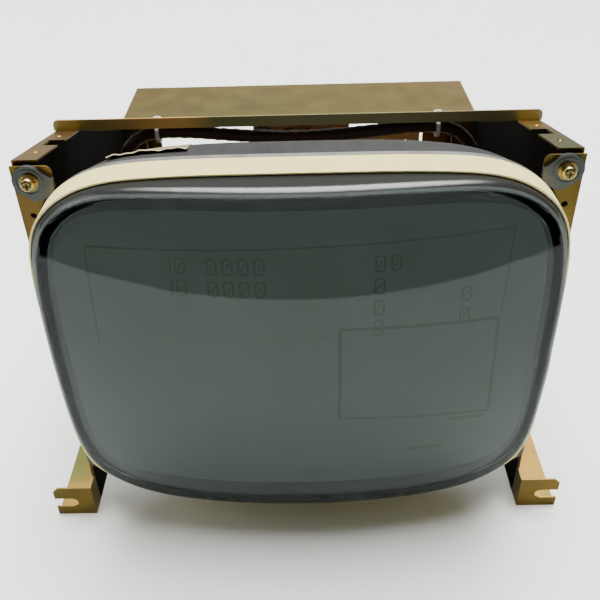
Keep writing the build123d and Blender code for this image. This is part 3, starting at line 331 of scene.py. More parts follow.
STEELS = {
    "bright": ("bright_steel", (196, 196, 192)), "lug": ("lug_steel", (120, 121, 118), (0.25, 0.42)),
    "dull": ("dull_steel", (150, 148, 144), (0.4, 0.6)), "mask": ("mask_steel", (70, 70, 72), (0.45, 0.6)),
    "shield": ("shield_steel", (84, 84, 88), (0.4, 0.6)), "tin": ("solder_tin", (210, 208, 200), (0.2, 0.4)),
    "sink": ("black_aluminium", (52, 52, 54), (0.4, 0.55)),
    "aluminium": ("can_aluminium", (206, 206, 204), (0.25, 0.4)),
}
GLOSSY, PLAIN, DULL, CHALKY = (0.3, 0.45), (0.4, 0.6), (0.5, 0.7), (0.75, 0.9)
PRINT = 0.0006
MOULDINGS = {
    "dag": ("black_dag", (26, 27, 30), (0.6, 0.8)), "burn": ("burnt_phosphor", (146, 152, 136), CHALKY),
    "burn_dark": ("burnt_phosphor_dark", (118, 124, 108), CHALKY),
    "frit": ("frit_seal", (128, 128, 124), DULL, 0.002),
    "rubber": ("black_rubber", (30, 30, 32), (0.55, 0.75)), "lead": ("red_lead", (150, 28, 22)),
    "paper": ("label_paper", (118, 112, 76), (0.6, 0.75), PRINT, 0.9),
    "cream": ("paper_edge", (226, 212, 170), (0.7, 0.85), PRINT, 0.9),
    "orange": ("orange_ink", (206, 112, 36), (0.6, 0.75), PRINT),
    "bobbin": ("bobbin", (30, 30, 32), PLAIN), "white": ("white_plastic", (226, 224, 212)),
    "ferrite": ("ferrite", (48, 48, 52), DULL, 0.0016),
    "terminal": ("terminal_board", (176, 142, 88), (0.4, 0.55)),
    "magnet": ("bonded_magnet", (58, 58, 62), DULL), "lock": ("lock_plastic", (188, 60, 38), GLOSSY),
    "socket": ("socket_plastic", (206, 200, 180), (0.4, 0.55)),
    "coil": ("coil_tape", (64, 40, 24), (0.42, 0.6), 0.002, 0.6),
    "potting": ("potted_resin", (40, 40, 44)), "knob": ("knob_plastic", (224, 220, 202)),
    "shaft": ("shaft_plastic", (34, 34, 36), GLOSSY), "black": ("black_plastic", (24, 24, 26)),
    "sleeve_blue": ("sleeve_blue", (24, 42, 92), (0.25, 0.4)),
    "sleeve_black": ("sleeve_black", (28, 28, 30), (0.25, 0.4)),
    "sleeve_mark": ("sleeve_mark", (198, 200, 204), GLOSSY),
    "resistor": ("resistor_lacquer", (196, 164, 112), GLOSSY),
    "band_brown": ("band_brown", (96, 50, 26), GLOSSY), "band_red": ("band_red", (176, 40, 30), GLOSSY),
    "yellow_tape": ("yellow_tape", (222, 186, 60), (0.35, 0.5), 0.0009),
    "film": ("film_capacitor", (88, 112, 88), GLOSSY),
}


def make_looks():
    LOOKS["zinc"] = plated("yellow_zinc", OLIVE, GOLD, BLUSH, GREEN)
    LOOKS["cover"] = plated("cover_zinc", rgb(112, 102, 64), rgb(118, 104, 64), rgb(124, 104, 72),
                            rgb(106, 102, 62), rough=(0.4, 0.5), cloud=0.3)
    LOOKS["bar"] = bar_painted_reflection_look()
    LOOKS["screw"] = plated("screw_zinc", rgb(196, 170, 110), rgb(214, 184, 116), rgb(206, 168, 124),
                            rgb(170, 164, 110), rough=(0.22, 0.36), cloud=0.01)
    LOOKS["glass"] = glass_look()
    LOOKS["neck"] = clear = Look("neck_glass", rough=0.02, IOR=1.5, Transmission_Weight=0.95)
    clear.colour(clear.mix(clear.noise(0.03), rgb(206, 216, 212), rgb(220, 226, 222)))
    LOOKS["phosphor"] = phosphor_look()
    LOOKS["graphite"] = graphite_look()
    LOOKS["tape"] = tape_look()
    LOOKS["board"] = board_look("phenolic_board", rgb(168, 124, 66), rgb(140, 98, 50))
    LOOKS["copper"] = enamelled_wire("enamelled_copper", rgb(150, 66, 24))
    LOOKS["copper_dark"] = enamelled_wire("enamelled_copper_dark", rgb(116, 44, 18))
    LOOKS["nylon"] = moulded("nylon", rgb(236, 232, 216), GLOSSY, Subsurface_Weight=0.2,
                             Subsurface_Radius=(0.002, 0.002, 0.0015))
    # a near-black, barely reflecting sheet that darkens the inner faces of the side frames
    LOOKS["dark_sheet"] = moulded("near_black_sheet", rgb(8, 8, 7), rough=(0.8, 0.9), Specular_IOR_Level=0.1)
    for make, table in ((steel, STEELS), (moulded, MOULDINGS)):
        for key, (name, colour, *rest) in table.items():
            LOOKS[key] = make(name, rgb(*colour), *rest)


make_looks()

NODE_LOOKS = {
    "glass": "glass_panel", "phosphor": "phosphor_screen", "mask": "shadow_mask mask_frame",
    "bright": "mask_springs electron_gun core_clips neck_clamps board_standoffs",
    "shield": "inner_shield", "graphite": "glass_funnel", "neck": "neck_tube", "tin": "base_pins",
    "dull": "rim_band", "tape": "band_tape", "lug": "mounting_lugs",
    "screw": "corner_screws corner_washers frame_screws", "rubber": "anode_cap yoke_wedges",
    "lead": "anode_lead", "paper": "funnel_label", "copper": "line_coils frame_coils",
    "white": "yoke_former", "ferrite": "ferrite_core flyback_core", "terminal": "yoke_terminals",
    "black": "ring_sleeve control_housings rear_connectors board_parts", "lock": "lock_ring",
    "socket": "tube_socket", "board": "neck_board main_board deflection_board",
    "film": "neck_board_parts", "coil": "degauss_coil", "nylon": "cable_ties",
    "zinc": "side_frame_right side_frame_left base_tray rear_panel", "bar": "top_bar",
    "cover": "rear_cover", "potting": "flyback_transformer", "knob": "focus_knob screen_knob",
    "sink": "heat_sinks", "shaft": "brightness_shaft contrast_shaft height_shaft",
    "magnet": "purity_ring_a purity_ring_b four_pole_ring_a four_pole_ring_b six_pole_ring_a "
              "six_pole_ring_b",
}


def dress_nodes():
    for look_name, names in NODE_LOOKS.items():
        for name in names.split():
            materials = NODES[name].data.materials
            materials.clear()
            materials.append(look(look_name))


dress_nodes()


# ---- mesh tools ----
class Heap:
    """Closed shapes gathered into one mesh piece."""

    def __init__(self):
        self.points, self.faces = [], []

    def add(self, points, faces):
        start = len(self.points)
        self.points += [tuple(point) for point in points]
        self.faces += [[start + index for index in face] for face in faces]

    def slab(self, low, high, edge=0.25 * MM):
        """A box with chamfered edges between two corners."""
        middle, half = (low + high) / 2, (high - low) / 2
        edge = min(edge, 0.4 * min(half))
        signs = [(a, b, c) for a in (-1, 1) for b in (-1, 1) for c in (-1, 1)]
        points, index = [], {}
        for sign in signs:
            for face in range(3):
                index[sign, face] = len(points)
                inset = [half[i] - (0 if i == face else edge) for i in range(3)]
                points.append([middle[i] + sign[i] * inset[i] for i in range(3)])
        faces = [[index[sign, face] for face in range(3)] for sign in signs]
        for face in range(3):
            other = [i for i in range(3) if i != face]
            for side in (-1, 1):
                ring = []
                for a, b in ((-1, -1), (1, -1), (1, 1), (-1, 1)):
                    sign = [0, 0, 0]
                    sign[face], sign[other[0]], sign[other[1]] = side, a, b
                    ring.append(index[tuple(sign), face])
                faces.append(ring)
            for a in (-1, 1):
                for b in (-1, 1):
                    ends = []
                    for side in (-1, 1):
                        sign = [0, 0, 0]
                        sign[face], sign[other[0]], sign[other[1]] = side, a, b
                        ends.append(tuple(sign))
                    faces.append([index[ends[0], other[0]], index[ends[1], other[0]],
                                  index[ends[1], other[1]], index[ends[0], other[1]]])
        self.add(points, faces)

    def turned(self, base, axis, profile, sides=20):
        """A shape turned on a lathe; profile holds (distance along the axis, radius)."""
        axis = Vector(axis).normalized()
        across = axis.orthogonal().normalized()
        other = axis.cross(across)
        turns = [2 * pi * i / sides for i in range(sides)]
        rings = [[base + axis * along + (across * cos(t) + other * sin(t)) * radius for t in turns]
                 for along, radius in profile]
        self.rings(rings, ends=True)

    def rings(self, rings, ends=False, closed=False):
        """Skins a row of rings with the same number of points."""
        count = len(rings[0])
        faces = []
        pairs = len(rings) if closed else len(rings) - 1
        for i in range(pairs):
            one, two = i * count, (i + 1) % len(rings) * count
            for k in range(count):
                after = (k + 1) % count
                faces.append((one + k, one + after, two + after, two + k))
        if ends:
            faces += [tuple(range(count)), tuple(range((len(rings) - 1) * count, len(rings) * count))]
        self.add([point for ring in rings for point in ring], faces)

    def tube(self, path, radius, sides=6, closed=False):
        """A round tube along a path; radius may be a function of (ring, side)."""
        count = len(path)
        rings, across = [], None
        for i, point in enumerate(path):
            before = path[i - 1] if i or closed else path[i]
            after = path[(i + 1) % count] if i + 1 < count or closed else path[i]
            ahead = (after - before).normalized()
            across = ahead.orthogonal() if across is None else across - ahead * across.dot(ahead)
            across.normalize()
            other = ahead.cross(across)
            ring = []
            for k in range(sides):
                turn = 2 * pi * k / sides
                reach = radius(i, k) if callable(radius) else radius
                ring.append(point + (across * cos(turn) + other * sin(turn)) * reach)
            rings.append(ring)
        self.rings(rings, ends=not closed, closed=closed)

    def sheet(self, grid, thickness):
        """A thin closed sheet over a grid of points, thickened by a vector."""
        rows, columns = len(grid), len(grid[0])
        top = [point for row in grid for point in row]
        low = [point - thickness for point in top]
        size = len(top)
        faces = []
        for i in range(rows - 1):
            for k in range(columns - 1):
                a = i * columns + k
                quad = (a, a + 1, a + columns + 1, a + columns)
                faces += [quad, tuple(size + n for n in reversed(quad))]
        edge = list(range(columns)) + [i * columns + columns - 1 for i in range(1, rows)]
        edge += [(rows - 1) * columns + k for k in range(columns - 2, -1, -1)]
        edge += [i * columns for i in range(rows - 2, 0, -1)]
        for a, b in zip(edge, edge[1:] + edge[:1]):
            faces.append((a, b, size + b, size + a))
        self.add(top + low, faces)

    def piece(self, name, look_name, slot, body=CHASSIS, replaces=(), sharp=40):
        mesh = bpy.data.meshes.new(name)
        mesh.from_pydata(self.points, [], self.faces)
        work = bmesh.new()
        work.from_mesh(mesh)
        bmesh.ops.recalc_face_normals(work, faces=work.faces)
        work.to_mesh(mesh)
        work.free()
        mesh.shade_smooth()
        mesh.set_sharp_from_angle(angle=radians(sharp))
        made = bpy.data.objects.new(name, mesh)
        mesh.materials.append(look(look_name))
        bpy.context.scene.collection.objects.link(made)
        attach(made, body)
        if replaces:
            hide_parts(*replaces)
        return made


class Kit(dict):
    """One heap for each look, made into pieces that together stand for some CAD nodes."""

    def __missing__(self, key):
        self[key] = Heap()
        return self[key]

    def pieces(self, prefix, slots, replaces=()):
        for number, (look_name, heap) in enumerate(self.items()):
            slot = slots if isinstance(slots, str) else slots.get(look_name, slots["other"])
            heap.piece(f"{prefix}_{look_name}", look_name, slot, replaces=replaces if number == 0 else ())


def box(kit, look_name, x, y, z, edge=0.25):
    """A chamfered box from three spans in millimetres."""
    kit[look_name].slab(at(x[0], y[0], z[0]), at(x[1], y[1], z[1]), edge * MM)


def lathe(kit, look_name, place, axis, profile, sides):
    """A turned part whose place and (distance, radius) profile are in millimetres."""
    kit[look_name].turned(at(*place), axis, [(along * MM, radius * MM) for along, radius in profile], sides)


def wire(kit, look_name, points, radius, sides=6):
    kit[look_name].tube([at(*point) for point in points], radius * MM, sides)


def bend(one, two, three, t):
    """A point on the curve that two pulls towards itself between one and three."""
    return one * (1 - t) ** 2 + two * 2 * t * (1 - t) + three * t * t


def smooth_loop(corners, step):
    """Evenly spaced points on the smooth closed curve that corners pull into shape."""
    dense = []
    count = len(corners)
    for i, corner in enumerate(corners):
        start, end = (corners[i - 1] + corner) / 2, (corner + corners[(i + 1) % count]) / 2
        for k in range(40):
            dense.append(bend(start, corner, end, k / 40))
    lengths = [(b - a).length for a, b in zip(dense, dense[1:] + dense[:1])]
    total = sum(lengths)
    wanted = round(total / step)
    points, travelled, k = [], 0.0, 0
    for i in range(wanted):
        goal = total * i / wanted
        while travelled + lengths[k] < goal:
            travelled += lengths[k]
            k += 1
        after = dense[(k + 1) % len(dense)]
        points.append(dense[k].lerp(after, (goal - travelled) / lengths[k]))
    return points


# ---- screen ----
SCREEN_Y = FACE_Y + 12 * MM           # inner face of the glass, in the middle
PICTURE = (145.6, 107.2, 6.3, 5.7)    # half width, half height, squareness and rise, in mm
BORDER = (149.2, 118.4, 5.1, 0)


def oval(half_w, half_h, power, rise, turn):
    """A point of a bulged rectangle about the tube axis, in mm."""
    across, up = cos(turn), sin(turn)
    reach = (abs(across / half_w) ** power + abs(up / half_h) ** power) ** (-1 / power)
    return reach * across, reach * up + rise


def on_screen(x, z, behind):
    """A point on the screen's dome, x and z in mm from the axis, behind mm behind the glass."""
    flat = (x * x + z * z) * MM * MM
    depth = FACE_R - sqrt(FACE_R * FACE_R - flat)
    return Vector((x * MM, SCREEN_Y + depth + behind * MM, AXIS_Z + z * MM))


def screen_ring(inner, outer, steps, behind, thickness):
    """A thin domed ring, or a disc where the inner oval is tiny."""
    heap = Heap()
    turns = [2 * pi * k / 128 for k in range(128)]
    sheets = []
    for depth in (behind, behind + thickness):
        rings = []
        for i in range(steps + 1):
            ring = []
            for turn in turns:
                a, b = oval(*inner, turn), oval(*outer, turn)
                t = i / steps
                ring.append(on_screen(a[0] + (b[0] - a[0]) * t, a[1] + (b[1] - a[1]) * t, depth))
            rings.append(ring)
        sheets.append(rings)
    front, back = sheets
    heap.rings(front + back[::-1], closed=True)
    return heap


def screen_coat():
    """Phosphor where the picture is, and the black coat round it."""
    tiny = (0.05, 0.05, 2, PICTURE[3])
    phosphor = screen_ring(tiny, PICTURE, 22, 0.45, 0.15)
    phosphor.piece("phosphor_coat", "phosphor", "phosphor", replaces=["phosphor_screen"])
    border = screen_ring((PICTURE[0] - 0.6, PICTURE[1] - 0.6, *PICTURE[2:]), BORDER, 6, 0.3, 0.1)
    border.piece("black_border", "dag", "phosphor")


class Marks:
    """Faint lines burnt into the phosphor, as thin ribbons just in front of it."""

    def __init__(self):
        self.heap = Heap()

    def line(self, start, end, width=0.8):
        start, end = Vector((*start, 0)), Vector((*end, 0))
        run = end - start
        side = Vector((-run.y, run.x, 0)).normalized() * width / 2
        steps = max(1, round(run.length / 8))
        rows = []
        for i in range(steps + 1):
            middle = start + run * i / steps
            rows.append([on_screen(p.x, p.y, 0.3) for p in (middle - side, middle + side)])
        self.heap.sheet(rows, Vector((0, -0.04 * MM, 0)))

    def frame(self, corners, width=0.8):
        for start, end in zip(corners, corners[1:] + corners[:1]):
            self.line(start, end, width)

    def zero(self, x, z, width=5.2, height=9.4):
        """A crossed nought."""
        x1, z1 = x + width, z + height
        self.frame([(x, z + 1.2), (x + 1.2, z), (x1 - 1.2, z), (x1, z + 1.2), (x1, z1 - 1.2),
                    (x1 - 1.2, z1), (x + 1.2, z1), (x, z1 - 1.2)], 1.1)
        self.line((x + 1.4, z + 2.4), (x1 - 1.4, z1 - 2.4), 0.8)

    def one(self, x, z, height=9.4):
        self.line((x, z), (x, z + height), 1.1)

    def dashes(self, x0, x1, z):
        """A row of short generic dashes in place of small print."""
        x = x0
        while x < x1:
            length = rng.uniform(1.2, 4.2)
            self.line((x, z), (min(x + length, x1), z), 1.2)
            x += length + rng.uniform(0.9, 3.4)


DIGIT_X = (-52, -43, -34, -25)
ROW_Z = (75, 61, 47, 33)
SOFT_KEYS = (-66, -79)


def burn_marks():
    faint, strong = Marks(), Marks()
    strong.line((-122, 88), (122, 94), 1.2)
    faint.line((-122, 84), (21, 87))
    strong.line((-122, 88), (-123, 22))
    strong.line((122, 94), (119, 38))
    faint.frame([(-122, 32), (21, 32), (21, 23), (-122, 23)], 0.7)
    faint.line((21, 86), (21, 32), 0.7)
    for z in ROW_Z[:2]:
        strong.one(-73, z)
        strong.zero(-70, z)
        strong.line((-62.4, z), (-61.4, z), 1.2)
        for x in DIGIT_X:
            strong.zero(x, z)
    for z in ROW_Z:
        faint.zero(2.5, z)
        strong.zero(43, z)
        faint.line((62, z + 4.5), (67, z + 4.5), 1.1)
    faint.zero(11, ROW_Z[3])
    strong.zero(52, ROW_Z[0])
    for z in (51, 36.5):
        strong.zero(94, z)
    window = [(23, 38), (118, 36), (120.5, -40), (23, -33)]
    strong.frame(window, 2.2)
    faint.frame([(26, 35), (115, 33), (117.5, -37), (26, -30)], 0.6)
    strong.line((95, -43), (118, -44.5), 3.0)
    for z, spans in ((13, ((-105, -72), (-46, -6))), (5, ((-118, -98), (-82, -60), (-45, -22))),
                     (-3, ((-82, -74), (-46, -20))), (-14, ((-118, -108), (-44, -30), (-18, 14))),
                     (-21, ((-106, -98), (-80, -72), (-44, -22))), (17, ((52, 96),)), (9, ((52, 100),))):
        for x0, x1 in spans:
            faint.dashes(x0, x1, z)
    top, low = SOFT_KEYS
    faint.line((-120, top + 1), (118, top + 1), 0.7)
    faint.line((-120, low), (118, low - 1), 0.7)
    for i in range(9):
        x = -99.6 + 27.4 * i
        faint.line((x, top), (x, low), 0.7)
        faint.dashes(x + 4, x + 21, top - 4.5)
        faint.dashes(x + 6, x + 18, low + 3)
    strong.line((69, top - 3.5), (93, top - 3.5), 4.2)
    faint.line((-15, -53), (118, -50), 0.7)
    faint.line((-15, -53), (-15, top), 0.7)
    faint.heap.piece("burn_marks_faint", "burn", "phosphor")
    strong.heap.piece("burn_marks_strong", "burn_dark", "phosphor")


# ---- funnel ----
def funnel_top(x, y):
    """Height of the funnel's glass over a place given in mm."""
    start = at(x, y, 400)
    hit, place, _, _ = NODES["glass_funnel"].ray_cast(start, Vector((0, 0, -1)))
    return place.z if hit else AXIS_Z


LABEL_X, LABEL_Y = (-112.6, -64.4), (13.4, 41.6)


def label_grid(x_span, y_span, columns, rows, lift):
    """Points over the funnel; the sheet's front edge has come loose and curls up."""
    grid = []
    for i in range(rows + 1):
        y = y_span[0] + (y_span[1] - y_span[0]) * i / rows
        row = []
        for k in range(columns + 1):
            x = x_span[0] + (x_span[1] - x_span[0]) * k / columns
            loose = 2.3 * max(0.0, 1 - (y - LABEL_Y[0]) / 9) ** 1.7
            wave = 0.75 + 0.2 * sin(x * 0.33) + 0.12 * sin(x * 0.81 + 1)
            row.append(Vector((x * MM, MOUNT_Y + y * MM, funnel_top(x, y) + (lift + loose * wave) * MM)))
        grid.append(row)
    return grid


def funnel_label():
    paper, edge, spot = Heap(), Heap(), Heap()
    down = Vector((0, 0, 0.22 * MM))
    paper.sheet(label_grid(LABEL_X, LABEL_Y, 40, 24, 0.35), down)
    paper.piece("funnel_label_paper", "paper", "label_paper", replaces=["funnel_label"])
    rim = label_grid(LABEL_X, (LABEL_Y[0], LABEL_Y[0] + 0.4), 40, 1, 0.42)[0]
    edge.tube(rim, 0.42 * MM, 6)
    edge.piece("funnel_label_edge", "cream", "label_paper")
    spot.sheet(label_grid((-112.4, -103.5), (13.5, 18), 8, 6, 0.46), down / 2)
    spot.piece("funnel_label_spot", "orange", "label_paper")


def seal_bead():
    """Sealing glass squeezed out between the front glass and the funnel."""
    turns = [2 * pi * k / 240 for k in range(240)]
    path = []
    for turn in turns:
        x, z = oval(157.4, 126.7, 5.05, 0, turn)
        path.append(Vector((x * MM, MOUNT_Y + 5.2 * MM, AXIS_Z + z * MM)))
    lumps = [rng.uniform(0.85, 1.2) * MM for _ in path]
    bead = Heap()
    bead.tube(path, lambda i, k: lumps[i], 8, closed=True)
    bead.piece("seal_bead", "frit", "funnel_coat")


# ---- degaussing coil ----
COIL_Y, COIL_R = 103, 4.5
COIL_HALF = [(0, 261.8), (44, 264.6), (84, 269.2), (112, 267), (128, 246), (129.5, 196),
             (129.5, 130), (128, 76), (112, 50), (76, 40.8), (30, 39.5)]


def degauss_coil():
    """The taped bundle: a spiral of tape with a raised edge at every lap."""
    left = [(-x, z) for x, z in reversed(COIL_HALF[1:])]
    sides, lap, step = 18, 8.0 * MM, 1.4 * MM
    path = smooth_loop([at(x, COIL_Y, z) for x, z in COIL_HALF + left], step)
    lumps = [rng.uniform(-0.12, 0.12) for _ in range(len(path) // 5 + 2)]

    def radius(i, k):
        turn = (i * step / lap + k / sides) % 1
        lump = lumps[i // 5] * (1 - i % 5 / 5) + lumps[i // 5 + 1] * (i % 5) / 5
        return (COIL_R - 0.25 + 0.42 * (1 - turn) ** 2 + lump) * MM

    tape = Heap()
    tape.tube(path, radius, sides, closed=True)
    tape.piece("degauss_coil_taped", "coil", "coil_tape", replaces=["degauss_coil"], sharp=70)


# ---- deflection yoke ----
YOKE_Y = (122, 172)
COIL_GAP, LINE_T, FORMER_T, WIND_T, CORE_T = 3.4, 3.6, 2.0, 2.6, 6.5
CORE_IN = COIL_GAP + LINE_T + FORMER_T + WIND_T + 0.3


def horn_at(y):
    """Throat radius in mm at a depth in mm from the mounting plane."""
    depth = max(NECK_FRONT - (MOUNT_Y + y * MM), 0)
    return (NECK_R + HORN_GROWTH * (depth / HORN_LENGTH) ** HORN_CURVE) / MM


def along_horn(turn, run):
    """A path up the horn at one turn, through (depth, gap from the glass) pairs."""
    return [round_axis((horn_at(y) + gap) * MM, turn, MOUNT_Y + y * MM) for y, gap in run]


def frame_windings():
    """Turns of wire round the left and right of the ferrite core."""
    y0, y1 = YOKE_Y[0] + 4.2, YOKE_Y[1] - 2.2
    inner, outer = CORE_IN - 1.5, CORE_IN + CORE_T + 1.5
    depths = [y0 + (y1 - y0) * i / 7 for i in range(8)]
    loop = [(y, inner) for y in depths] + [(y1 + 1.2, (inner + outer) / 2)]
    loop += [(y, outer) for y in reversed(depths)] + [(y0 - 1.2, (inner + outer) / 2)]
    kit = Kit()
    turns, span = 74, radians(118)
    for middle in (0, pi):
        for i in range(turns):
            angle = middle - span / 2 + span * i / (turns - 1) + rng.uniform(-0.004, 0.004)
            kit["copper"].tube(along_horn(angle, loop), 0.62 * MM, 6, closed=True)
    kit.pieces("frame_windings", "copper_wire", replaces=["frame_coils"])


def line_windings():
    """Saddle coils: flared bundles inside the horn and arcs of wire in front of it."""
    kit = Kit()
    arc = radians(156)
    inner = horn_at(YOKE_Y[0] - 9) + COIL_GAP + 0.8
    for start in (radians(12), radians(192)):
        for row in range(4):
            for column in range(9):
                radius = inner + column * 1.5 + rng.uniform(-0.15, 0.15)
                y = YOKE_Y[0] - 8.2 + row * 1.55 + rng.uniform(-0.1, 0.1)
                trim = radians(2 + 0.5 * column)
                steps = [start + trim + (arc - 2 * trim) * i / 36 for i in range(37)]
                path = [round_axis(radius * MM, t, MOUNT_Y + y * MM) for t in steps]
                look_name = "copper" if (row + column) % 3 else "copper_dark"
                kit[look_name].tube(path, 0.74 * MM, 6)
        for layer, gap in enumerate((1.2, 2.7)):
            for i in range(52):
                turn = start + arc * (i + 0.5) / 52
                if abs(turn - start - arc / 2) < radians(20) and i % 2:
                    continue
                run = [(YOKE_Y[0] - 3 + 54 * k / 6, COIL_GAP + gap) for k in range(7)]
                kit["copper_dark" if layer else "copper"].tube(along_horn(turn, run), 0.7 * MM, 5)
    kit.pieces("line_windings", "copper_wire", replaces=["line_coils"])


def yoke_leads():
    """Coloured wires from the coils to the yoke's small connection board."""
    kit = Kit()
    peg_y, peg_z = YOKE_Y[1], AXIS_Z / MM + 33
    route = ((0, 10, 0), (2, 14, 4), (9, 12, 7), (17, 5, 4), (22, -1.5, -1))
    for number, x in enumerate((-13.5, -4.5, 4.5, 13.5)):
        side = -1 if x < 0 else 1
        points = [at(x + out * side, peg_y + back, peg_z + rise) for out, back, rise in route]
        path = []
        for one, two, three in zip(points, points[1:], points[2:]):
            start = one if one is points[0] else (one + two) / 2
            end = three if three is points[-1] else (two + three) / 2
            path += [bend(start, two, end, k / 8) for k in range(8)]
        kit[("lead", "white", "sleeve_blue", "yellow_tape")[number]].tube(path, 0.75 * MM, 8)
    kit.pieces("yoke_lead", "copper_wire")


# ---- circuit boards ----
BOARD_TOP = 15.6
CAPACITORS = [(-70, 322, 12.5, 40), (-40, 326, 11, 35), (-95, 232, 9, 28), (-14, 328, 8, 25),
              (-72, 224, 6.3, 20), (12, 330, 6.3, 20), (36, 328, 8, 25), (129, 219, 8, 25),
              (132, 240, 6.3, 16)]
PART_SLOTS = {"other": "components", "tin": "fastener_zinc", "aluminium": "heat_sink",
              "ferrite": "ferrite"}
UP, BACK, FRONT = Vector((0, 0, 1)), Vector((0, 1, 0)), Vector((0, -1, 0))


def capacitor(kit, base, axis, radius, height, sleeve="sleeve_blue"):
    """An electrolytic can: shrunk sleeve, scored aluminium top and a marked side."""
    r, h = radius * MM, height * MM
    profile = [(0, r - 0.5 * MM), (0.5 * MM, r), (1.6 * MM, r), (2.2 * MM, r - 0.5 * MM), (2.8 * MM, r),
               (h - 0.7 * MM, r), (h - 0.1 * MM, r - 0.5 * MM), (h, r - 1.3 * MM)]
    kit[sleeve].turned(base, axis, profile, 28)
    top = base + axis * (h - 0.3 * MM)
    kit["aluminium"].turned(top, axis, [(0, r - 1.5 * MM), (0.45 * MM, r - 1.6 * MM)], 28)
    across = axis.orthogonal().normalized()
    other = axis.cross(across)
    for turn in (0.3, 0.3 + pi / 2):
        run = (across * cos(turn) + other * sin(turn)) * (r - 2.4 * MM)
        kit["sleeve_black"].tube([top + axis * 0.42 * MM - run, top + axis * 0.42 * MM + run], 0.16 * MM, 4)
    grid = []
    for i in range(6):
        turn = 3.6 + 0.12 * i
        out = (across * cos(turn) + other * sin(turn)) * (r + 0.12 * MM)
        grid.append([base + axis * 3.4 * MM + out, base + axis * (h - 1.4 * MM) + out])
    kit["sleeve_mark"].sheet(grid, (across * cos(3.9) + other * sin(3.9)) * 0.2 * MM)


RESISTOR_BANDS = ("band_brown", "sleeve_black", "band_red")


def resistor(kit, start, end, radius, leg):
    """A lacquered resistor between two places in mm, with colour bands and two bent legs."""
    start, end = at(*start), at(*end)
    run = end - start
    length, axis = run.length, run.normalized()
    r = radius * MM
    cap = min(0.22 * length, 3 * MM)
    half = [(0.0, 0.4), (0.1, 0.85), (0.4, 1.0), (0.8, 1.0), (1.0, 0.86)]
    profile = [(share * cap, wide * r) for share, wide in half]
    profile += [(length - share * cap, wide * r) for share, wide in reversed(half)]
    kit["resistor"].turned(start, axis, profile, 14)
    for number, band in enumerate(RESISTOR_BANDS):
        place = start + axis * length * (0.3 + 0.14 * number)
        kit[band].turned(place, axis, [(0, 0.9 * r), (0.05 * length, 0.9 * r)], 14)
    for tip, way in ((start, -axis), (end, axis)):
        drop = tip + way * 1.6 * MM
        kit["tin"].tube([tip, drop, drop + Vector(leg) * MM], 0.32 * MM, 6)


def chip(kit, x, y, z, height=4.0):
    """A moulded chip with its two rows of legs."""
    box(kit, "black", x, (y[0] + 1, y[1] - 1), (z + 0.7, z + height), 0.4)
    pins = int((x[1] - x[0] - 2) / 2.54)
    for i in range(pins + 1):
        place = x[0] + 1.2 + 2.54 * i
        for edge, side in ((y[0] + 1, -1), (y[1] - 1, 1)):
            wire(kit, "tin", [(place, edge - 0.2 * side, z + 2.2), (place, edge + 0.8 * side, z + 2.2),
                              (place, edge + 1.0 * side, z - 0.2)], 0.3, 4)
    lathe(kit, "sleeve_mark", (x[0] + 2.2, y[0] + 2.4, z + height - 0.05), UP, [(0, 0.5), (0.1, 0.5)], 10)


HEADER_COLOURS = ("lead", "sleeve_black", "yellow_tape", "sleeve_blue", "white", "band_brown")


def header(kit, x, y, z, height):
    """A white plug header with a row of wires going up out of it."""
    box(kit, "white", x, y, (z, z + height - 3), 0.4)
    middle = (y[0] + y[1]) / 2
    box(kit, "white", (x[0] + 1, x[1] - 1), (y[0] + 1.5, y[1] - 1.5), (z + height - 3.2, z + height), 0.4)
    pitch = 2.5
    count = int((x[1] - x[0] - 4) / pitch)
    for i in range(count + 1):
        place = x[0] + 2 + pitch * i
        lean = rng.uniform(-1.2, 1.2)
        path = [(place, middle, z + height - 1), (place, middle, z + height + 2)]
        for k in range(1, 9):
            turn = k / 8 * pi
            path.append((place + lean * k / 8, middle - 3.5 + 3.5 * cos(turn),
                         z + height + 2 + 3.2 * sin(turn)))
        path.append((place + lean, middle - 7, z + 0.8))
        wire(kit, HEADER_COLOURS[i % len(HEADER_COLOURS)], path, 0.65, 7)


def transformer(kit):
    x, y, z = -48, 268, BOARD_TOP
    for x0, x1, z0, z1 in ((-22, 22, 3, 11), (-22, 22, 32, 40), (-22, -14, 11, 32), (14, 22, 11, 32)):
        box(kit, "ferrite", (x + x0, x + x1), (y - 7, y + 7), (z + z0, z + z1), 0.5)
    box(kit, "yellow_tape", (x - 13.8, x + 13.8), (y - 16, y + 16), (z + 11.2, z + 31.8), 4.5)
    for lap in range(4):
        low = x - 11 + 6 * lap
        box(kit, "yellow_tape", (low, low + 4.6), (y - 16.3, y + 16.3), (z + 11, z + 32), 4.6)
    for y0, y1 in ((y - 17, y - 7.2), (y + 7.2, y + 17)):
        box(kit, "bobbin", (x - 18, x + 18), (y0, y1), (z + 1, z + 8), 0.6)
    for side in (-13.5, 13.5):
        for i in range(7):
            lathe(kit, "tin", (x - 15 + 5 * i, y + side, z - 0.2), UP, [(0, 0.5), (2, 0.5)], 8)


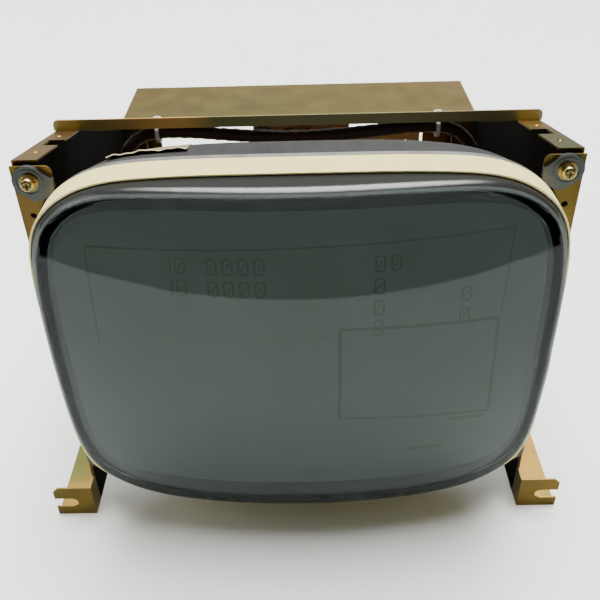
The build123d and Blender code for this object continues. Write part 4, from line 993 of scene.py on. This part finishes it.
def main_board_parts():
    kit = Kit()
    z = BOARD_TOP
    for number, (x, y, *size) in enumerate(CAPACITORS):
        capacitor(kit, at(x, y, z), UP, *size, "sleeve_black" if number % 3 == 2 else "sleeve_blue")
    box(kit, "black", (-108, -84), (262, 282), (z, z + 18), 0.8)
    for x in ((-20, 10), (20, 46)):
        header(kit, x, (214, 226), z, 9)
    for x, y in (((0, 30), (300, 308)), ((56, 84), (296, 304))):
        chip(kit, x, y, z)
    box(kit, "film", (-20, -2), (250, 268), (z, z + 14), 1.2)
    for i in range(6):
        resistor(kit, (116, 300 + 7 * i, z + 3), (132, 300 + 7 * i, z + 3), 2.4, (0, 0, -3))
    for i in range(5):
        x = 14 * i - 2
        resistor(kit, (x, 235.5, z + 2.2), (x, 248.5, z + 2.2), 2.0, (0, 0, -2.2))
    transformer(kit)
    kit.pieces("main_board", PART_SLOTS, replaces=["board_parts"])


def output_stage(kit, x, y):
    """A transistor screwed to its heat sink, and a tall resistor."""
    box(kit, "black", (x - 5, x + 5), (y, y + 4.5), (131, 145.5), 0.5)
    box(kit, "aluminium", (x - 7, x + 7), (y + 4.5, y + 5.9), (128, 160), 0.3)
    for k in (-1, 1):
        box(kit, "aluminium", (x + 7 * k - 0.6, x + 7 * k + 0.6), (y + 4.6, y + 12), (128, 160), 0.3)
    lathe(kit, "screw", (x, y + 5.9, 150), BACK, [(0, 2.6), (1.2, 2.5), (1.8, 1.6)], 16)
    resistor(kit, (x + 11, y + 2.6, 134), (x + 11, y + 2.6, 146), 2.5, (0, -2.6, 0))
    for k in (-2.5, 0, 2.5):
        wire(kit, "tin", [(x + k, y + 2.2, 131.5), (x + k, y + 2.2, 129), (x + k, y, 128.4)], 0.4)


def dipped_film(kit, x, z, width, y, depth, height):
    """A flat dipped capacitor with a round top."""
    radius = width / 2
    outline = [(x - radius, z), (x + radius, z)]
    for k in range(13):
        turn = pi * k / 12
        outline.append((x + radius * cos(turn), z + height - radius + radius * sin(turn)))
    middle = z + height / 2
    rings = []
    for share, grow in ((0.0, 0.8), (0.12, 0.95), (0.3, 1.0), (0.7, 1.0), (0.88, 0.95), (1.0, 0.8)):
        rings.append([at(x + (px - x) * grow, y + depth * share, middle + (pz - middle) * grow)
                      for px, pz in outline])
    kit["film"].rings(rings, ends=True)


def neck_board_details():
    kit = Kit()
    front, back = 289, 290.6
    for x in (-92, -70, -48):
        output_stage(kit, x, back)
    for x in (-30, 34):
        capacitor(kit, at(x, back, 130), BACK, 6.2, 15)
    dipped_film(kit, -94, 150, 14, front - 6.5, 6.3, 22.5)
    dipped_film(kit, -34, 176, 12, front - 5, 4.8, 16)
    header(kit, (-84, -60), (front - 8.5, front - 0.2), 128, 6)
    for i in range(6):
        z = 126.5 + 6 * i
        resistor(kit, (8, back + 2, z), (20, back + 2, z), 1.2, (0, -2, 0))
    for x, z in ((-10, 130), (-18, 186), (8, 188), (30, 186), (36, 150), (-34, 152)):
        lathe(kit, "tin", (x, front, z), FRONT, [(0, 1.4), (0.7, 0.6), (2, 0.4)], 10)
    kit.pieces("neck_board", PART_SLOTS, replaces=["neck_board_parts"])


def deflection_details():
    """The upright board and what stands on its back."""
    kit = Kit()
    y = 265.6
    low = BOARD_TOP + 66
    box(kit, "board", (38, 112), (264, y), (low, 192), 0.15)
    box(kit, "board", (42, 50), (264, y), (BOARD_TOP, low + 0.1), 0.15)
    box(kit, "black", (44, 64), (y, y + 16), (160, 176), 0.8)
    box(kit, "black", (72, 84), (y, y + 4.5), (150, 166), 0.5)
    box(kit, "aluminium", (70, 86), (y + 4.5, y + 6), (150, 180), 0.3)
    lathe(kit, "screw", (78, y + 6, 172), BACK, [(0, 2.6), (1.1, 2.5), (1.6, 1.6)], 16)
    choke = [(0, 6), (1.4, 8.6), (2.4, 8.8), (2.6, 7), (9.4, 7), (9.6, 8.8), (10.6, 8.6), (12, 6)]
    lathe(kit, "ferrite", (98, y, 168), BACK, choke, 24)
    turns = [2 * pi * i / 28 for i in range(28)]
    for k in range(9):
        path = [at(98 + 7.5 * cos(t), y + 2.9 + 0.76 * k, 168 + 7.5 * sin(t)) for t in turns]
        kit["copper"].tube(path, 0.42 * MM, 6, closed=True)
    for x in range(50, 99, 16):
        capacitor(kit, at(x, y, 132), BACK, 5, 14)
    for z in (103.0, 115.0):
        for i in range(4):
            x = 56 + 12.4 * i
            resistor(kit, (x, y + 2, z), (x + 9, y + 2, z), 1.5, (0, -2, 0))
    for _ in range(26):
        place = (rng.uniform(42, 108), 264, rng.uniform(low + 6, 186))
        lathe(kit, "tin", place, FRONT, [(0, 1.2), (0.6, 0.5), (1.5, 0.35)], 9)
    kit.pieces("deflection", {**PART_SLOTS, "board": "circuit_board", "copper": "copper_wire"},
               replaces=["deflection_board"])


SIGNAL_PIN, POWER_PIN = [(0, 0.6), (4.2, 0.6), (4.8, 0.3)], [(0, 0.9), (4.2, 0.9), (4.8, 0.5)]


def connector_pins():
    """Contacts inside the signal and power sockets."""
    kit = Kit()
    for i in range(8):
        for z in (57, 61):
            lathe(kit, "tin", (64.5 + 4.2 * i, 363.9, z), BACK, SIGNAL_PIN, 10)
    for i in range(4):
        lathe(kit, "tin", (-113.5 + 7 * i, 363.9, 59), BACK, POWER_PIN, 12)
    kit.pieces("connector_pins", "gun_metal")


# ---- inside of the frame ----
FRAME_IN = 164.6
DARK_SHEET_OUTLINE = [(3, 1.4), (270.4, 1.4), (270.4, 201.5), (262, 201.5), (107, 269.5), (106.5, 273.6),
                 (93, 273.6), (6, 293.6), (3, 292)]


def dark_side_sheets():
    """A near-black sheet on the inside of each side frame, which makes those faces dark."""
    for name, side in (("left", -1), ("right", 1)):
        dark_sheet = Heap()
        rings = [[at(side * x, y, z) for y, z in DARK_SHEET_OUTLINE] for x in (FRAME_IN - 0.05, FRAME_IN - 0.45)]
        dark_sheet.rings(rings, ends=True)
        dark_sheet.piece(f"side_dark_sheet_{name}", "dark_sheet", "black_plastic")


# ---- small marks of how the frame was made ----
def pressed_details():
    """Embossed dimples on the sloping top flanges."""
    dimples = Heap()
    slope = Vector((0, 0.226, 0.974))
    dome = [(-0.2 * MM, 2.1 * MM), (0.1 * MM, 1.9 * MM), (0.35 * MM, 1.2 * MM), (0.42 * MM, 0.4 * MM)]
    for side in (-1, 1):
        for y, z in ((27, 290.75), (75, 279.55)):
            dimples.turned(at(side * 158.3, y, z), slope, dome, 18)
    dimples.piece("flange_dimples", "zinc", "zinc_steel")


for build in (screen_coat, burn_marks, funnel_label, seal_bead, degauss_coil, frame_windings,
              line_windings, yoke_leads, main_board_parts, neck_board_details, deflection_details,
              connector_pins, dark_side_sheets, pressed_details):
    build()


# ---- stage ----
def stage_plane(name, half, y_span, z, material):
    mesh = bpy.data.meshes.new(name)
    front, back = y_span
    mesh.from_pydata([(-half, front, z), (half, front, z), (half, back, z), (-half, back, z)],
                     [], [(0, 1, 2, 3)])
    plane = bpy.data.objects.new(name, mesh)
    plane.data.materials.append(material)
    bpy.context.scene.collection.objects.link(plane)
    return plane


def area_light(name, place, aim, size, power):
    data = bpy.data.lights.new(name, "AREA")
    data.shape, data.size, data.size_y, data.energy = "RECTANGLE", *size, power
    light = bpy.data.objects.new(name, data)
    light.location = place
    light.rotation_mode = "QUATERNION"
    light.rotation_quaternion = (Vector(aim) - Vector(place)).to_track_quat("-Z", "Y")
    bpy.context.scene.collection.objects.link(light)


def mirrored_floor(name, y_span, tone):
    """What a stretch of the floor looks like in reflections only."""
    look = Look(name, rough=1.0, Specular_IOR_Level=0.0)
    look.colour(look.mix(look.noise(1.0), tone, dimmed(tone, 0.85)))
    card = stage_plane(name, 5, y_span, 0.0006, look.material)
    card.visible_camera = card.visible_diffuse = card.visible_transmission = card.visible_shadow = False


DARK_FROM = -0.752


def make_stage():
    floor = Look("pale_floor", Specular_IOR_Level=0.0)
    floor.colour(floor.mix(floor.noise(0.5, 4.0), rgb(240, 241, 240), rgb(233, 235, 235)))
    floor.rough(floor.noise(0.1), 0.5, 0.62)
    stage_plane("floor", 6, (-6, 6), 0, floor.material)
    mirrored_floor("dark_card", (-5.5, DARK_FROM), rgb(14, 17, 19))
    mirrored_floor("grey_card", (DARK_FROM, 5.5), rgb(150, 157, 154))
    make_sky()
    area_light("side_fill", (-1.6, -0.5, 1.3), (0, 0, 0.15), (1.0, 1.0), 6)


def make_sky():
    """A dim room with a wide soft light overhead: dark in front, grey behind."""
    world = bpy.data.worlds.new("world")
    world.use_nodes = True
    tree = world.node_tree
    way = add_node(tree, "ShaderNodeTexCoord").outputs["Generated"]

    def towards(direction, start, end, low, high):
        """Brightness that rises smoothly as the way looked along nears a direction."""
        dot = add_node(tree, "ShaderNodeVectorMath", {0: way, 1: Vector(direction).normalized()},
                       operation="DOT_PRODUCT")
        span = add_node(tree, "ShaderNodeMapRange", {
            "Value": dot.outputs["Value"], "From Min": start, "From Max": end, "To Min": low,
            "To Max": high}, interpolation_type="SMOOTHSTEP")
        return span.outputs["Result"]

    room = towards((0, 0.8, 0.6), -0.35, 0.9, 0.03, 0.42)
    lamp = towards((0.05, 0.2, 1), 0.86, 0.985, 0.0, 22.0)
    total = add_node(tree, "ShaderNodeMath", {0: room, 1: lamp}).outputs[0]
    camera_ray = add_node(tree, "ShaderNodeLightPath").outputs["Is Camera Ray"]
    seen = add_node(tree, "ShaderNodeMix", {"Factor": camera_ray, "A": total, "B": 0.8})
    background = tree.nodes["Background"]
    background.inputs["Color"].default_value = (1.0, 1.0, 0.98, 1)
    tree.links.new(seen.outputs["Result"], background.inputs["Strength"])
    bpy.context.scene.world = world


make_stage()
